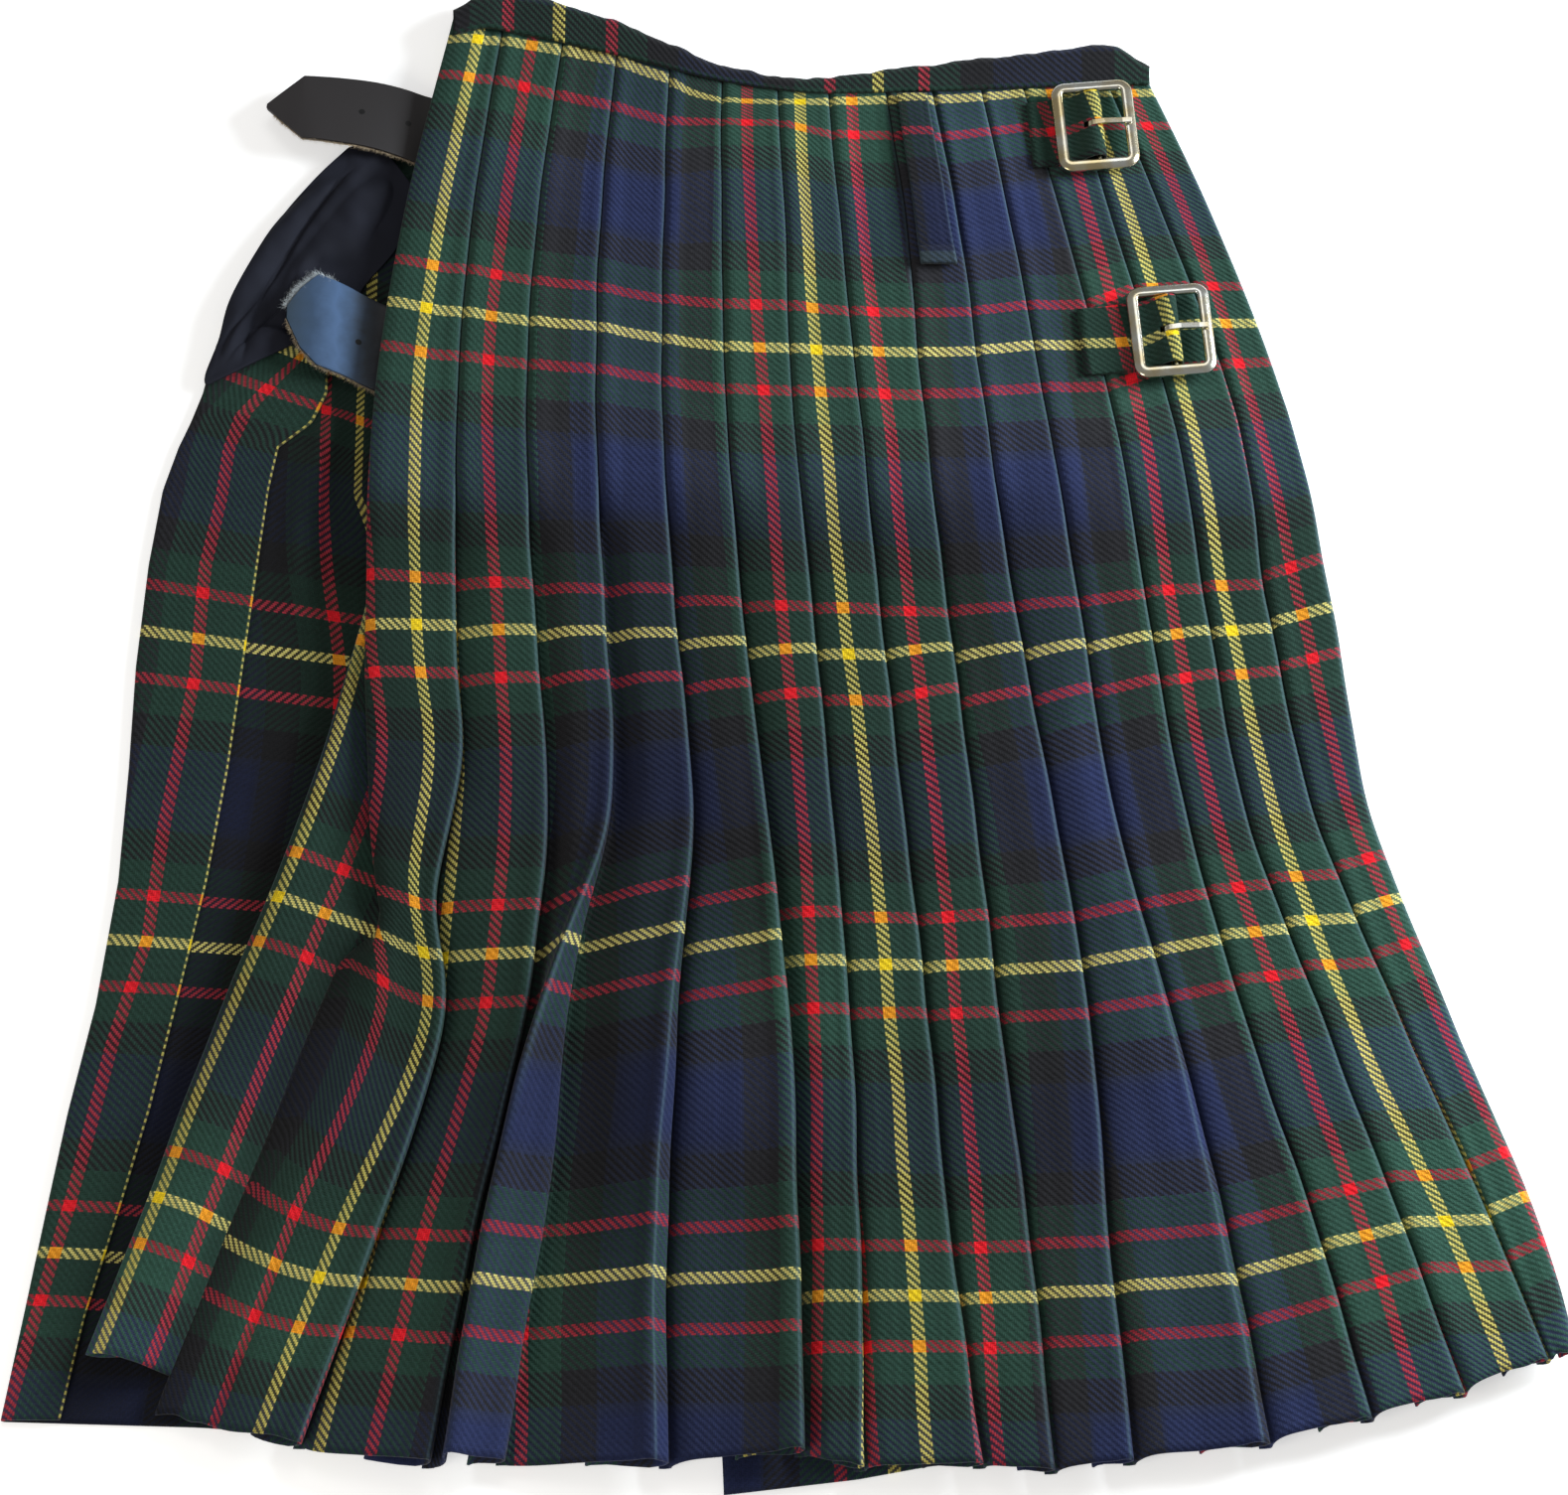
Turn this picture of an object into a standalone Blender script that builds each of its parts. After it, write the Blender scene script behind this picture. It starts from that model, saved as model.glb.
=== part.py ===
"""A tartan kilt laid flat on its front, pleated back up, waist towards +Y and hem towards -Y.

The two aprons lie under the back. The back is one length of cloth in fourteen knife pleats: each
pleat's crisp fold is its right edge, and the cloth turns back under it and comes out again as the
next pleat. Two leather straps come out at the left and two buckles sit on cloth tabs at the right.
Sizes are in millimetres until a mesh is made. The origin is the middle of the footprint, on the floor.
"""
import math
from collections import namedtuple

import bpy
import numpy as np

MM = 0.001

# Cloth and leather.
CLOTH = 1.2                 # wall of the wool twill
LINING_CLOTH = 1.0          # wall of the cotton lining
LEATHER = 2.0
SEAM_GAP = 0.3              # between pieces that touch
APRON_LAYER = 1.6           # from the middle of one apron wall to the middle of the next
PLEATS_BOTTOM = 3.8         # underside of the lowest layer of the pleats

# The middle of the footprint, in the frame that the tables below are measured in.
FOOTPRINT_MIDDLE = (1.15, 1.9)

# Where each pleat's folded edge runs: x at each station along the kilt, from waist to hem, then the
# height of its two ends, how far the fold opens to the right low down, and how far it stands up there.
STATIONS = (280, 200, 120, 40, -40, -120, -200, -280)
Fold = namedtuple("Fold", "x waist hem opens stands")
FOLDS = (
    Fold((-123, -139, -148, -149, -146, -140, -173, -204), 281, -262, 0, 0),
    Fold((-105, -115, -119, -118, -118, -119, -138, -162), 286, -273, 0, 2),
    Fold((-82, -91, -94, -90, -84, -91, -107, -120), 280, -280, 0, 4),
    Fold((-62, -68, -69, -65, -62, -86, -103, -114), 273, -279, 19, 8),
    Fold((-43, -45, -45, -40, -33, -40, -45, -44), 264, -280, 4, 5),
    Fold((-24, -24, -22, -16, -7, 1, 4, 6), 256, -276, 0, 5),
    Fold((-5, -1, 2, 9, 16, 22, 25, 26), 253, -281, 0, 1),
    Fold((13, 19, 26, 33, 41, 49, 56, 66), 254, -280, 0, 2),
    Fold((32, 43, 49, 57, 66, 74, 83, 90), 257, -282, 0, 1),
    Fold((48, 62, 71, 81, 94, 105, 110, 117), 260, -279, 0, 2),
    Fold((66, 81, 93, 104, 115, 133, 149, 162), 262, -273, 2, 3),
    Fold((80, 100, 117, 128, 140, 159, 182, 201), 263, -264, 0, 2),
    Fold((99, 118, 138, 149, 161, 186, 212, 237), 264, -255, 0, 2),
    Fold((109, 137, 161, 171, 185, 213, 243, 271), 264, -243, 0, 1),
    Fold((123, 155, 180, 194, 205, 231, 259, 275), 258, -240, 0, 0),
)
FOLD_OPENS = (-40, -200)    # y where a fold starts to open, and where it is fully open
FOLD_STANDS = (30, -150)    # y where a fold starts to stand up, and where it fully does
# Left of the first pleat the cloth opens low down into one more flared fold.
FLARE_FOLD = (-115, -131, -140, -150, -172, -198, -224, -251)
FLARE_VALLEY = (-113, -129, -138, -139, -138, -165, -193, -220)
FLARE_FOLD_HEM = -240
FLARE_VALLEY_HEM = -258
FLARE_OPENS = (-15, -95)    # y where the flare starts to open, and where it is fully open
CREST_RISE = 6.5            # how far the crest between flare and first pleat stands up

PLEAT_ROWS = 15
LAYER_AT_WAIST = 1.75       # from one pleat layer to the next, sewn down at the waist
LAYER_AT_FELL = 2.2
LAYER_AT_HEM = 2.9
FELL = 60                   # y below which the pleats hang free
TUCK_SHARE = 0.5            # tuck depth as a share of the pleat that shows
LEAST_TUCK = 4.0
PLEAT_CROWN = 0.4           # how far the cloth swells over the tuck

# Waistband: x, its lower edge, and its rolled top edge.
BandPoint = namedtuple("BandPoint", "x lower top")
BAND = (
    BandPoint(-123, 273, 285),
    BandPoint(-112, 276, 291),
    BandPoint(-96, 274, 291),
    BandPoint(-64, 266, 281),
    BandPoint(-20, 254, 263),
    BandPoint(5, 250, 259),
    BandPoint(40, 250, 263),
    BandPoint(92, 252, 269),
    BandPoint(124, 253, 270),
    BandPoint(134, 253, 262),
)
BAND_UNDERSIDE = 2.1        # height of the middle of the band's turned-under leg
BAND_LEG = 7.0              # length of that leg
BAND_LIFT = 0.15            # more room under the band than the seam gap
BAND_SECTIONS = 30
FIRST_PLEAT_ENDS = (-112, -98)  # x where the layer under the first pleat's left edge runs out

# Over apron: y, its left folded edge, and the free edge of the strip that is turned back over it.
ApronRow = namedtuple("ApronRow", "y fold strip_edge")
OVER_APRON = (
    ApronRow(-262, -266, -246),
    ApronRow(-225, -260, -239),
    ApronRow(-187, -254, -229),
    ApronRow(-150, -248, -220),
    ApronRow(-110, -240, -212),
    ApronRow(-63, -234, -203),
    ApronRow(-20, -232, -197),
    ApronRow(20, -231, -193),
    ApronRow(60, -228, -189),
    ApronRow(90, -224, -186),
    ApronRow(107, -219, -183),
    ApronRow(117, -215, -171),
    ApronRow(129, -211, -166),
    ApronRow(148, -207, -166),
    ApronRow(154, -205, -203),
    ApronRow(166, -201, -199),
    ApronRow(180, -196, -194),
    ApronRow(205, -178, -176),
    ApronRow(228, -159, -157),
    ApronRow(238, -150, -148),
)
OVER_APRON_HEM = ((-266, -262), (-200, -264), (-120, -270), (60, -272), (190, -262), (266, -236))
OVER_APRON_WAIST = ((-150, 238), (-115, 248), (-95, 262), (-60, 262), (10, 245), (130, 245))
APRON_TURN = 1.4            # from the folded edge in to where the cloth lies flat
STRIP_SWELL = 0.25          # how far the turned-back strip swells off the apron
EDGE_INSET = 5              # how far the aprons stop inside the back's right edge

# Under apron: its left edge at waist and hem, and the corner of its hem that shows.
UNDER_APRON_WAIST = 243
UNDER_APRON_LEFT = ((-288, -21), (UNDER_APRON_WAIST, -46))
UNDER_APRON_HEM = ((-21, -288.5), (23, -283), (80, -272), (190, -260), (262, -235))

# Lining: left edge x and y, right edge x and y, from its lower edge up.
LiningRow = namedtuple("LiningRow", "left_x left_y right_x right_y")
LINING = (
    LiningRow(-212, 131, -160, 158),
    LiningRow(-206, 147, -157, 172),
    LiningRow(-202, 165, -155, 188),
    LiningRow(-192, 187, -156, 203),
    LiningRow(-184, 201, -146, 212),
    LiningRow(-172, 217, -148, 224),
    LiningRow(-161, 229, -150, 232),
)
LINING_RISE = 3.4           # how high its main fold stands
LINING_LOWEST = 2.3         # height of its middle where it lies on one wall of the apron

# Straps: along the middle, from the point to the sewn end: x, y, underside height, half width, and
# how much higher the lower edge lies than the upper edge.
StrapPoint = namedtuple("StrapPoint", "x y underside half_width roll")
UPPER_STRAP = (
    StrapPoint(-191.0, 244.5, 6.6, 0.8, 0.1),
    StrapPoint(-184.5, 243.9, 6.5, 7.2, 2.0),
    StrapPoint(-177.5, 243.4, 6.3, 14.0, 4.0),
    StrapPoint(-165.0, 242.4, 5.8, 14.4, 4.0),
    StrapPoint(-150.0, 240.8, 4.6, 14.5, 2.4),
    StrapPoint(-141.0, 239.0, 3.4, 14.5, 0.8),
    StrapPoint(-133.0, 237.0, 1.5, 14.5, 0.0),
    StrapPoint(-120.0, 234.0, 1.5, 14.5, 0.0),
)
LOWER_STRAP = (
    StrapPoint(-181.0, 159.0, 10.0, 0.8, 0.0),
    StrapPoint(-176.0, 157.5, 9.6, 10.0, -1.0),
    StrapPoint(-170.0, 155.5, 8.6, 18.0, -1.6),
    StrapPoint(-160.0, 152.0, 6.0, 18.0, -1.0),
    StrapPoint(-154.0, 149.5, 3.6, 18.0, -0.4),
    StrapPoint(-147.5, 147.0, 1.5, 18.0, 0.0),
    StrapPoint(-134.0, 142.0, 1.5, 18.0, 0.0),
)
STRAP_HOLES = {"strap_upper": ((-156, 241.6), (-139.5, 238.6)), "strap_lower": ((-156, 148.5),)}
HOLE_RADIUS = 1.7
HOLE_MIDDLE = 6.0           # height of the middle of the hole's cutter

# Buckles: the middle bar's place and turn, and the height of its axis.
BUCKLES = {
    "upper": {"place": (113.5, 233.5), "turn_deg": 5.0, "axis_height": 13.5, "tab_length": 24.0},
    "lower": {"place": (139.5, 148.5), "turn_deg": 5.0, "axis_height": 14.0, "tab_length": 33.0},
}
BUCKLE_WIDTH = 30.0
BUCKLE_HEIGHT = 37.0
BUCKLE_RIM = 4.2
BUCKLE_CORNER = 4.5
BUCKLE_THICK = 2.6
MIDDLE_BAR = 2.2
FRAME_ROUNDING = 0.5
PRONG_WIDTH = 2.2
PRONG_THICK = 1.1
PRONG_BORE = 1.9            # inside radius of the prong's eye round the middle bar
PRONG_REACH = 13.4
PRONG_NECK = 3.3            # from the bar's axis to where the eye runs into the tongue
PRONG_TAPER = 3.5           # length of the tongue's thinner end
PRONG_NOSE = 0.4            # rounding of its tip
PRONG_ROUNDING = 0.2
TAB_WIDTH = 27.0
TAB_CLOTH = 1.2
TAB_TURN = 2.5              # radius of the middle of the cloth round the bar
TAB_SLOT = 3.4              # slot in the tab for the prong
TAB_SLOT_LENGTH = 12.0
TAB_SLOT_AHEAD = 1.2        # how far the slot's middle lies ahead of the bar
TAB_DROP = 3.7              # from the bar's axis down to the middle of the tab's lower layer

# Belt loop: middle line from its sewn top to its turned-up foot.
LOOP_TOP = (46.3, 248.4)
LOOP_FOOT = (55.6, 177.0)
LOOP_WIDTH = 13.0
LOOP_THICK = 2.2
LOOP_ARCH = 1.5

COLOURS = {
    "tartan_cloth": ((0.020, 0.045, 0.050), 0.85, 0.0),
    "lining_cloth": ((0.010, 0.011, 0.022), 0.80, 0.0),
    "strap_leather": ((0.022, 0.020, 0.024), 0.45, 0.0),
    "buckle_metal": ((0.62, 0.58, 0.50), 0.25, 1.0),
}


def clear_scene():
    for thing in list(bpy.data.objects):
        bpy.data.objects.remove(thing, do_unlink=True)


def make_collection(name):
    collection = bpy.data.collections.new(name)
    bpy.context.scene.collection.children.link(collection)
    return collection


def make_material(name):
    colour, roughness, metallic = COLOURS[name]
    material = bpy.data.materials.new(name)
    material.use_nodes = True
    shader = material.node_tree.nodes["Principled BSDF"]
    shader.inputs["Base Color"].default_value = (*colour, 1.0)
    shader.inputs["Roughness"].default_value = roughness
    shader.inputs["Metallic"].default_value = metallic
    return material


def smooth(stations, values, at):
    """Values at rising stations joined by one smooth curve, carried on straight past both ends."""
    stations = np.asarray(stations, float)
    values = np.asarray(values, float)
    at = np.asarray(at, float)
    slopes = np.gradient(values, stations)
    inside = np.clip(at, stations[0], stations[-1])
    i = np.clip(np.searchsorted(stations, inside, side="right") - 1, 0, len(stations) - 2)
    step = stations[i + 1] - stations[i]
    u = (inside - stations[i]) / step
    start = (1 + 2 * u) * (1 - u) ** 2 * values[i] + u * (1 - u) ** 2 * step * slopes[i]
    end = u * u * (3 - 2 * u) * values[i + 1] - u * u * (1 - u) * step * slopes[i + 1]
    beyond = at - inside
    return start + end + beyond * np.where(beyond < 0, slopes[0], slopes[-1])


def along_kilt(values, y):
    """A table row of x values at STATIONS, read at y."""
    return smooth(STATIONS[::-1], values[::-1], y)


def line(points, at):
    """Straight runs through (where, value) points, which rise in where."""
    where, value = zip(*points)
    return np.interp(at, where, value)


def ease(low, high, at):
    """0 at low, 1 at high, with a smooth change between."""
    u = np.clip((np.asarray(at, float) - low) / (high - low), 0, 1)
    return u * u * (3 - 2 * u)


def fold_x(k, y):
    return along_kilt(FOLDS[k].x, y)


def opening(k, y):
    """How far the fold of pleat k opens to the right at y."""
    return FOLDS[k].opens * ease(*FOLD_OPENS, y)


def standing(k, y):
    """How far the fold of pleat k stands up at y."""
    return FOLDS[k].stands * ease(*FOLD_STANDS, y)


def layer(y):
    """From the middle of one pleat layer to the middle of the next at y."""
    return smooth((-280, FELL, 240, 290), (LAYER_AT_HEM, LAYER_AT_FELL, LAYER_AT_WAIST, LAYER_AT_WAIST), y)


def floor_layer():
    """Height of the middle of the lowest pleat layer."""
    return PLEATS_BOTTOM + CLOTH / 2


# One pleat across: how far along from the last fold to this one each column takes its ends from.
PLEAT_END_SHARE = (0.0, 0.1, 0.35, 0.6, 0.8, 1.0, 1.0, 1.0, 0.7, 0.6)


def pleat_section(k, y):
    """x and z of the ten columns of pleat k at y, from its hidden start to the inner fold of its tuck."""
    step = layer(y)
    turn = step / 2
    low = floor_layer() + 0 * y
    top = low + 2 * step
    begins = fold_x(k - 1, y) + opening(k - 1, y)
    edge = fold_x(k, y)
    shows = edge - begins
    opens = opening(k, y)
    stands = standing(k, y)
    knife = 3 / (3 + opens)
    tuck = np.maximum(TUCK_SHARE * (shows + opens), LEAST_TUCK)
    inner = edge + opens - tuck
    shoulder = knife * (inner - 1.5) + (1 - knife) * (begins + 0.7 * shows)
    crown = knife * (edge - 0.45 * tuck) + (1 - knife) * (begins + 0.9 * shows)
    tip_height = knife * (top + stands - turn) + (1 - knife) * (low + step + turn)
    columns = (
        (begins - 3.0, low),
        (begins + 1.5, low + 0.15),
        (begins + 0.5 * (shoulder - begins), low + 0.62 * (top - low)),
        (shoulder, top + 0.1 * stands),
        (crown, top + PLEAT_CROWN + 0.45 * stands),
        (edge - turn * knife, top + stands),
        (edge + opens, tip_height),
        (edge + opens - turn, low + step + 0.3 * stands * knife),
        (inner + turn, low + step),
        (inner, low + turn),
    )
    return columns


def flare_section(y):
    """The ten columns left of the first pleat at y: the flared fold, its valley and the crest beside it."""
    step = layer(y)
    turn = step / 2
    low = floor_layer() + 0 * y
    crest = fold_x(0, y)
    fold = along_kilt(FLARE_FOLD, y)
    valley = along_kilt(FLARE_VALLEY, y)
    open_share = ease(FLARE_OPENS[0], FLARE_OPENS[1], y)
    closed = (
        (crest + 7.0, low),
        (crest + 2.5, low),
        (crest + 1.8, low + turn),
        (crest + 2.5, low + step),
        (crest + 4.5, low + step),
        (crest + 7.2, low + step),
        (crest + 8.0, low + 1.5 * step),
        (crest + 7.2, low + 2 * step),
        (crest + 1.0, low + 2 * step),
        (crest, low + 2.5 * step),
    )
    high = low + CREST_RISE
    opened = (
        (fold + 14.0, low),
        (fold + 1.5, low),
        (fold, low + turn),
        (fold + 1.5, low + step),
        (0.45 * fold + 0.55 * valley, low + step + 3.0),
        (valley - 4.0, low + 2.0),
        (valley, low + 0.3),
        (0.55 * valley + 0.45 * crest, low + 0.55 * CREST_RISE),
        (crest - 4.0, high - 0.4),
        (crest, high),
    )
    columns = []
    for (closed_x, closed_z), (open_x, open_z) in zip(closed, opened):
        emerged = np.minimum(closed_x, fold + closed_x - crest)
        x = emerged + open_share * (open_x - emerged)
        z = closed_z + open_share * (open_z - closed_z)
        columns.append((x, z))
    return columns


FLARE_HEM_SHARE = (0.0, 0.0, 0.0, 0.0, 0.5, 0.9, 1.0, 1.0, 1.0, 1.0)


def pleated_back_grid():
    """Rows from hem to waist across every fold of the back, as x, y, z."""
    t = np.linspace(0, 1, PLEAT_ROWS)
    columns = []
    for j, share in enumerate(FLARE_HEM_SHARE):
        hem = FLARE_FOLD_HEM + share * (FLARE_VALLEY_HEM - FLARE_FOLD_HEM)
        if j > 6:
            hem = FOLDS[0].hem
        y = hem + t * (FOLDS[0].waist - hem)
        x, z = flare_section(y)[j]
        columns.append(np.stack((x, y, z), axis=1))
    for k in range(1, len(FOLDS)):
        last = FOLDS[k - 1]
        this = FOLDS[k]
        for j, share in enumerate(PLEAT_END_SHARE):
            if k == 1 and j < 2:
                continue
            hem = last.hem + share * (this.hem - last.hem)
            waist = last.waist + share * (this.waist - last.waist)
            y = hem + t * (waist - hem)
            x, z = pleat_section(k, y)[j]
            if k == 1 and j < 4:
                x, z = first_pleat_start(j, x, z, y)
            columns.append(np.stack((x, y, z), axis=1))
    return np.stack(columns, axis=1)


def first_pleat_start(j, x, z, y):
    """The first pleat beside its left edge: over the closed flare, or down from the open crest."""
    open_share = ease(FLARE_OPENS[0], FLARE_OPENS[1], y)
    crest = fold_x(0, y)
    closed_z = floor_layer() + 3 * layer(y)
    opened_z = floor_layer() + CREST_RISE - 0.3
    if j == 2:
        return crest + 2.2, closed_z + open_share * (opened_z - closed_z)
    closed_x = crest + 9.6
    opened_x = 0.5 * (crest + x)
    beside = 0.5 * (opened_z + z)
    return closed_x + open_share * (opened_x - closed_x), closed_z + open_share * (beside - closed_z)


def add_mesh(name, grid, collection, material):
    """A mesh of quads over a grid of points in millimetres, rows by columns, as an object."""
    rows, columns = grid.shape[:2]
    points = [tuple(point * MM) for point in grid.reshape(-1, 3)]
    faces = []
    for r in range(rows - 1):
        for c in range(columns - 1):
            low = r * columns + c
            high = low + columns
            faces.append((low, low + 1, high + 1, high))
    mesh = bpy.data.meshes.new(name)
    mesh.from_pydata(points, [], faces)
    mesh.update()
    thing = bpy.data.objects.new(name, mesh)
    thing.data.materials.append(material)
    collection.objects.link(thing)
    return thing


def add_wall(name, grid, thickness, collection, material):
    """A cloth or leather wall whose middle is the grid."""
    thing = add_mesh(name, grid, collection, material)
    wall = thing.modifiers.new("wall", "SOLIDIFY")
    wall.thickness = thickness * MM
    wall.offset = 0.0
    thing.data.shade_smooth()
    return thing


def on_footprint(grid):
    """Moves table coordinates so that the footprint's middle is the origin."""
    return grid - np.array((*FOOTPRINT_MIDDLE, 0.0))


def placed(x, y, z):
    """A place in table coordinates as metres from the origin."""
    return ((x - FOOTPRINT_MIDDLE[0]) * MM, (y - FOOTPRINT_MIDDLE[1]) * MM, z * MM)


def waistband_grid():
    """Sections along x: the outer face, the rolled top edge and a short leg turned under."""
    rows = []
    band = BandPoint(*zip(*BAND))
    over_pleats = floor_layer() + 2 * LAYER_AT_WAIST + CLOTH + SEAM_GAP + BAND_LIFT
    for x in np.linspace(band.x[0], band.x[-1], BAND_SECTIONS):
        lower = smooth(band.x, band.lower, x)
        top = smooth(band.x, band.top, x)
        over_first = LAYER_AT_WAIST * (1 - ease(*FIRST_PLEAT_ENDS, x))
        face = over_pleats + over_first
        radius = (face - BAND_UNDERSIDE) / 2
        centre = top - radius
        section = [(lower, face), (0.5 * (lower + centre), face)]
        for angle in np.radians((90, 54, 18, -18, -54, -90)):
            height = BAND_UNDERSIDE + radius + radius * math.sin(angle)
            section.append((centre + radius * math.cos(angle), height))
        section.append((centre - BAND_LEG + radius, BAND_UNDERSIDE))
        rows.append([(x, y, z) for y, z in section])
    return np.array(rows)


def right_inside(y):
    """Right edge of the aprons at y: just inside the last fold of the back."""
    return fold_x(len(FOLDS) - 1, y) - EDGE_INSET


def over_apron_grid():
    """Rows from hem to waist: the panel from right to left, its folded edge, and the strip turned back."""
    apron = ApronRow(*np.array(OVER_APRON, float).T)
    t = (apron.y - apron.y[0]) / (apron.y[-1] - apron.y[0])
    hem_left, hem_right = OVER_APRON_HEM[0][0], OVER_APRON_HEM[-1][0]
    waist_left, waist_right = OVER_APRON_WAIST[0][0], OVER_APRON_WAIST[-1][0]
    height = CLOTH / 2
    turned = height + APRON_LAYER + 0.1
    rows = []
    for share in t:
        row = []
        for across in np.linspace(0, 1, 9):
            hem = line(OVER_APRON_HEM, hem_right + across * (hem_left - hem_right))
            waist = line(OVER_APRON_WAIST, waist_right + across * (waist_left - waist_right))
            y = hem + share * (waist - hem)
            turn_x = np.interp(y, apron.y, apron.fold) + APRON_TURN
            row.append((right_inside(y) + across * (turn_x - right_inside(y)), y, height))
        edge = np.interp(y, apron.y, apron.strip_edge)
        row.append((turn_x - 0.5 * APRON_LAYER, y, 0.5 * (height + turned)))
        row.append((turn_x, y, turned))
        for across in (0.35, 0.7, 1.0):
            swell = STRIP_SWELL * math.sin(math.pi * across)
            row.append((turn_x + across * (edge - turn_x), y, turned + swell))
        rows.append(row)
    return np.array(rows)


def under_apron_grid():
    """Rows from hem to waist, left to right, lying on the over apron."""
    rows = []
    hem_left, hem_right = UNDER_APRON_HEM[0][0], UNDER_APRON_HEM[-1][0]
    for share in np.linspace(0, 1, 9):
        row = []
        for across in np.linspace(0, 1, 9):
            hem = line(UNDER_APRON_HEM, hem_left + across * (hem_right - hem_left))
            y = hem + share * (UNDER_APRON_WAIST - hem)
            left = line(UNDER_APRON_LEFT, y)
            right = right_inside(y) - 1.0
            row.append((left + across * (right - left), y, CLOTH / 2 + APRON_LAYER))
        rows.append(row)
    return np.array(rows)


def lining_grid():
    """Rows from the lower edge up: a loose wall that lies over the apron in two slanting folds."""
    rows = []
    at = np.linspace(0, 1, len(LINING))
    for share in np.linspace(0, 1, 13):
        edges = LiningRow(*(np.interp(share, at, column) for column in zip(*LINING)))
        row = []
        for across in np.linspace(0, 1, 13):
            x = edges.left_x + across * (edges.right_x - edges.left_x)
            y = edges.left_y + across * (edges.right_y - edges.left_y)
            slant = across + 0.15 * math.sin(3 * share)
            near = math.sin(math.pi * np.clip(slant / 0.55, 0, 1))
            far = math.sin(math.pi * np.clip((slant - 0.5) / 0.5, 0, 1))
            rise = LINING_RISE * (near + 0.7 * far) * (1 - ease(0.68, 0.85, share)) * ease(0, 0.15, share)
            beside_strap = ease(0.45, 0.75, across) * (1 - ease(0.3, 0.5, share))
            strip_edge = line([(row.y, row.strip_edge) for row in OVER_APRON], y)
            over_strip = (APRON_LAYER + 0.4) * (1 - ease(7, 14, x - strip_edge))
            row.append((x, y, LINING_LOWEST + over_strip + rise * (1 - 0.9 * beside_strap)))
        rows.append(row)
    return np.array(rows)


def strap_grid(table):
    """Rows across the strap, from its point to its sewn end, on the middle of the leather."""
    rows = []
    for point in table:
        row = []
        for side in (1, 0.5, 0, -0.5, -1):
            height = point.underside + LEATHER / 2 + point.roll * (1 - side) / 2
            row.append((point.x, point.y + side * point.half_width, height))
        rows.append(row)
    return np.array(rows)[:, ::-1]


def add_strap(name, table, collection, cutters, material):
    grid = on_footprint(strap_grid(table))
    strap = add_wall(name, grid, LEATHER, collection, material)
    for i, (x, y) in enumerate(STRAP_HOLES[name]):
        bpy.ops.mesh.primitive_cylinder_add(vertices=12, radius=HOLE_RADIUS * MM, depth=30 * MM)
        cutter = bpy.context.object
        cutter.name = f"{name}_hole_{i + 1}"
        cutter.location = placed(x, y, HOLE_MIDDLE)
        move_to(cutter, cutters)
        hide_helper(cutter)
        punch = strap.modifiers.new(f"hole_{i + 1}", "BOOLEAN")
        punch.operation = "DIFFERENCE"
        punch.object = cutter
    return strap


def move_to(thing, collection):
    for old in list(thing.users_collection):
        old.objects.unlink(thing)
    collection.objects.link(thing)


def hide_helper(thing):
    thing.hide_render = True
    thing.display_type = "WIRE"


def rounded_box_points(left, right, low, high, radius, steps=4):
    """Points anticlockwise round a rectangle with rounded corners."""
    points = []
    corners = ((right - radius, high - radius, 0), (left + radius, high - radius, 90),
               (left + radius, low + radius, 180), (right - radius, low + radius, 270))
    for x, y, start in corners:
        for i in range(steps + 1):
            angle = math.radians(start + 90 * i / steps)
            points.append((x + radius * math.cos(angle), y + radius * math.sin(angle)))
    return points


def add_outline(name, outlines, thickness, rounding, collection, material):
    """A flat plate from closed outlines in millimetres, the first its edge and the rest its windows."""
    curve = bpy.data.curves.new(name, "CURVE")
    curve.dimensions = "2D"
    curve.fill_mode = "BOTH"
    curve.extrude = (thickness / 2 - rounding) * MM
    curve.bevel_depth = rounding * MM
    curve.bevel_resolution = 1
    curve.offset = -rounding * MM
    for outline in outlines:
        spline = curve.splines.new("POLY")
        spline.points.add(len(outline) - 1)
        for point, (x, y) in zip(spline.points, outline):
            point.co = (x * MM, y * MM, 0, 1)
        spline.use_cyclic_u = True
    thing = bpy.data.objects.new(name, curve)
    curve.materials.append(material)
    collection.objects.link(thing)
    return thing


def add_buckle_frame(name, collection, material):
    """A rectangle with round corners and a middle bar, cut as two windows."""
    half_width = BUCKLE_WIDTH / 2
    half_height = BUCKLE_HEIGHT / 2
    inner_height = half_height - BUCKLE_RIM
    inner_width = half_width - BUCKLE_RIM
    half_bar = MIDDLE_BAR / 2
    outlines = [rounded_box_points(-half_width, half_width, -half_height, half_height, BUCKLE_CORNER)]
    for left, right in ((-inner_width, -half_bar), (half_bar, inner_width)):
        outlines.append(rounded_box_points(left, right, -inner_height, inner_height, 1.2, 2)[::-1])
    return add_outline(name, outlines, BUCKLE_THICK, FRAME_ROUNDING, collection, material)


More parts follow.
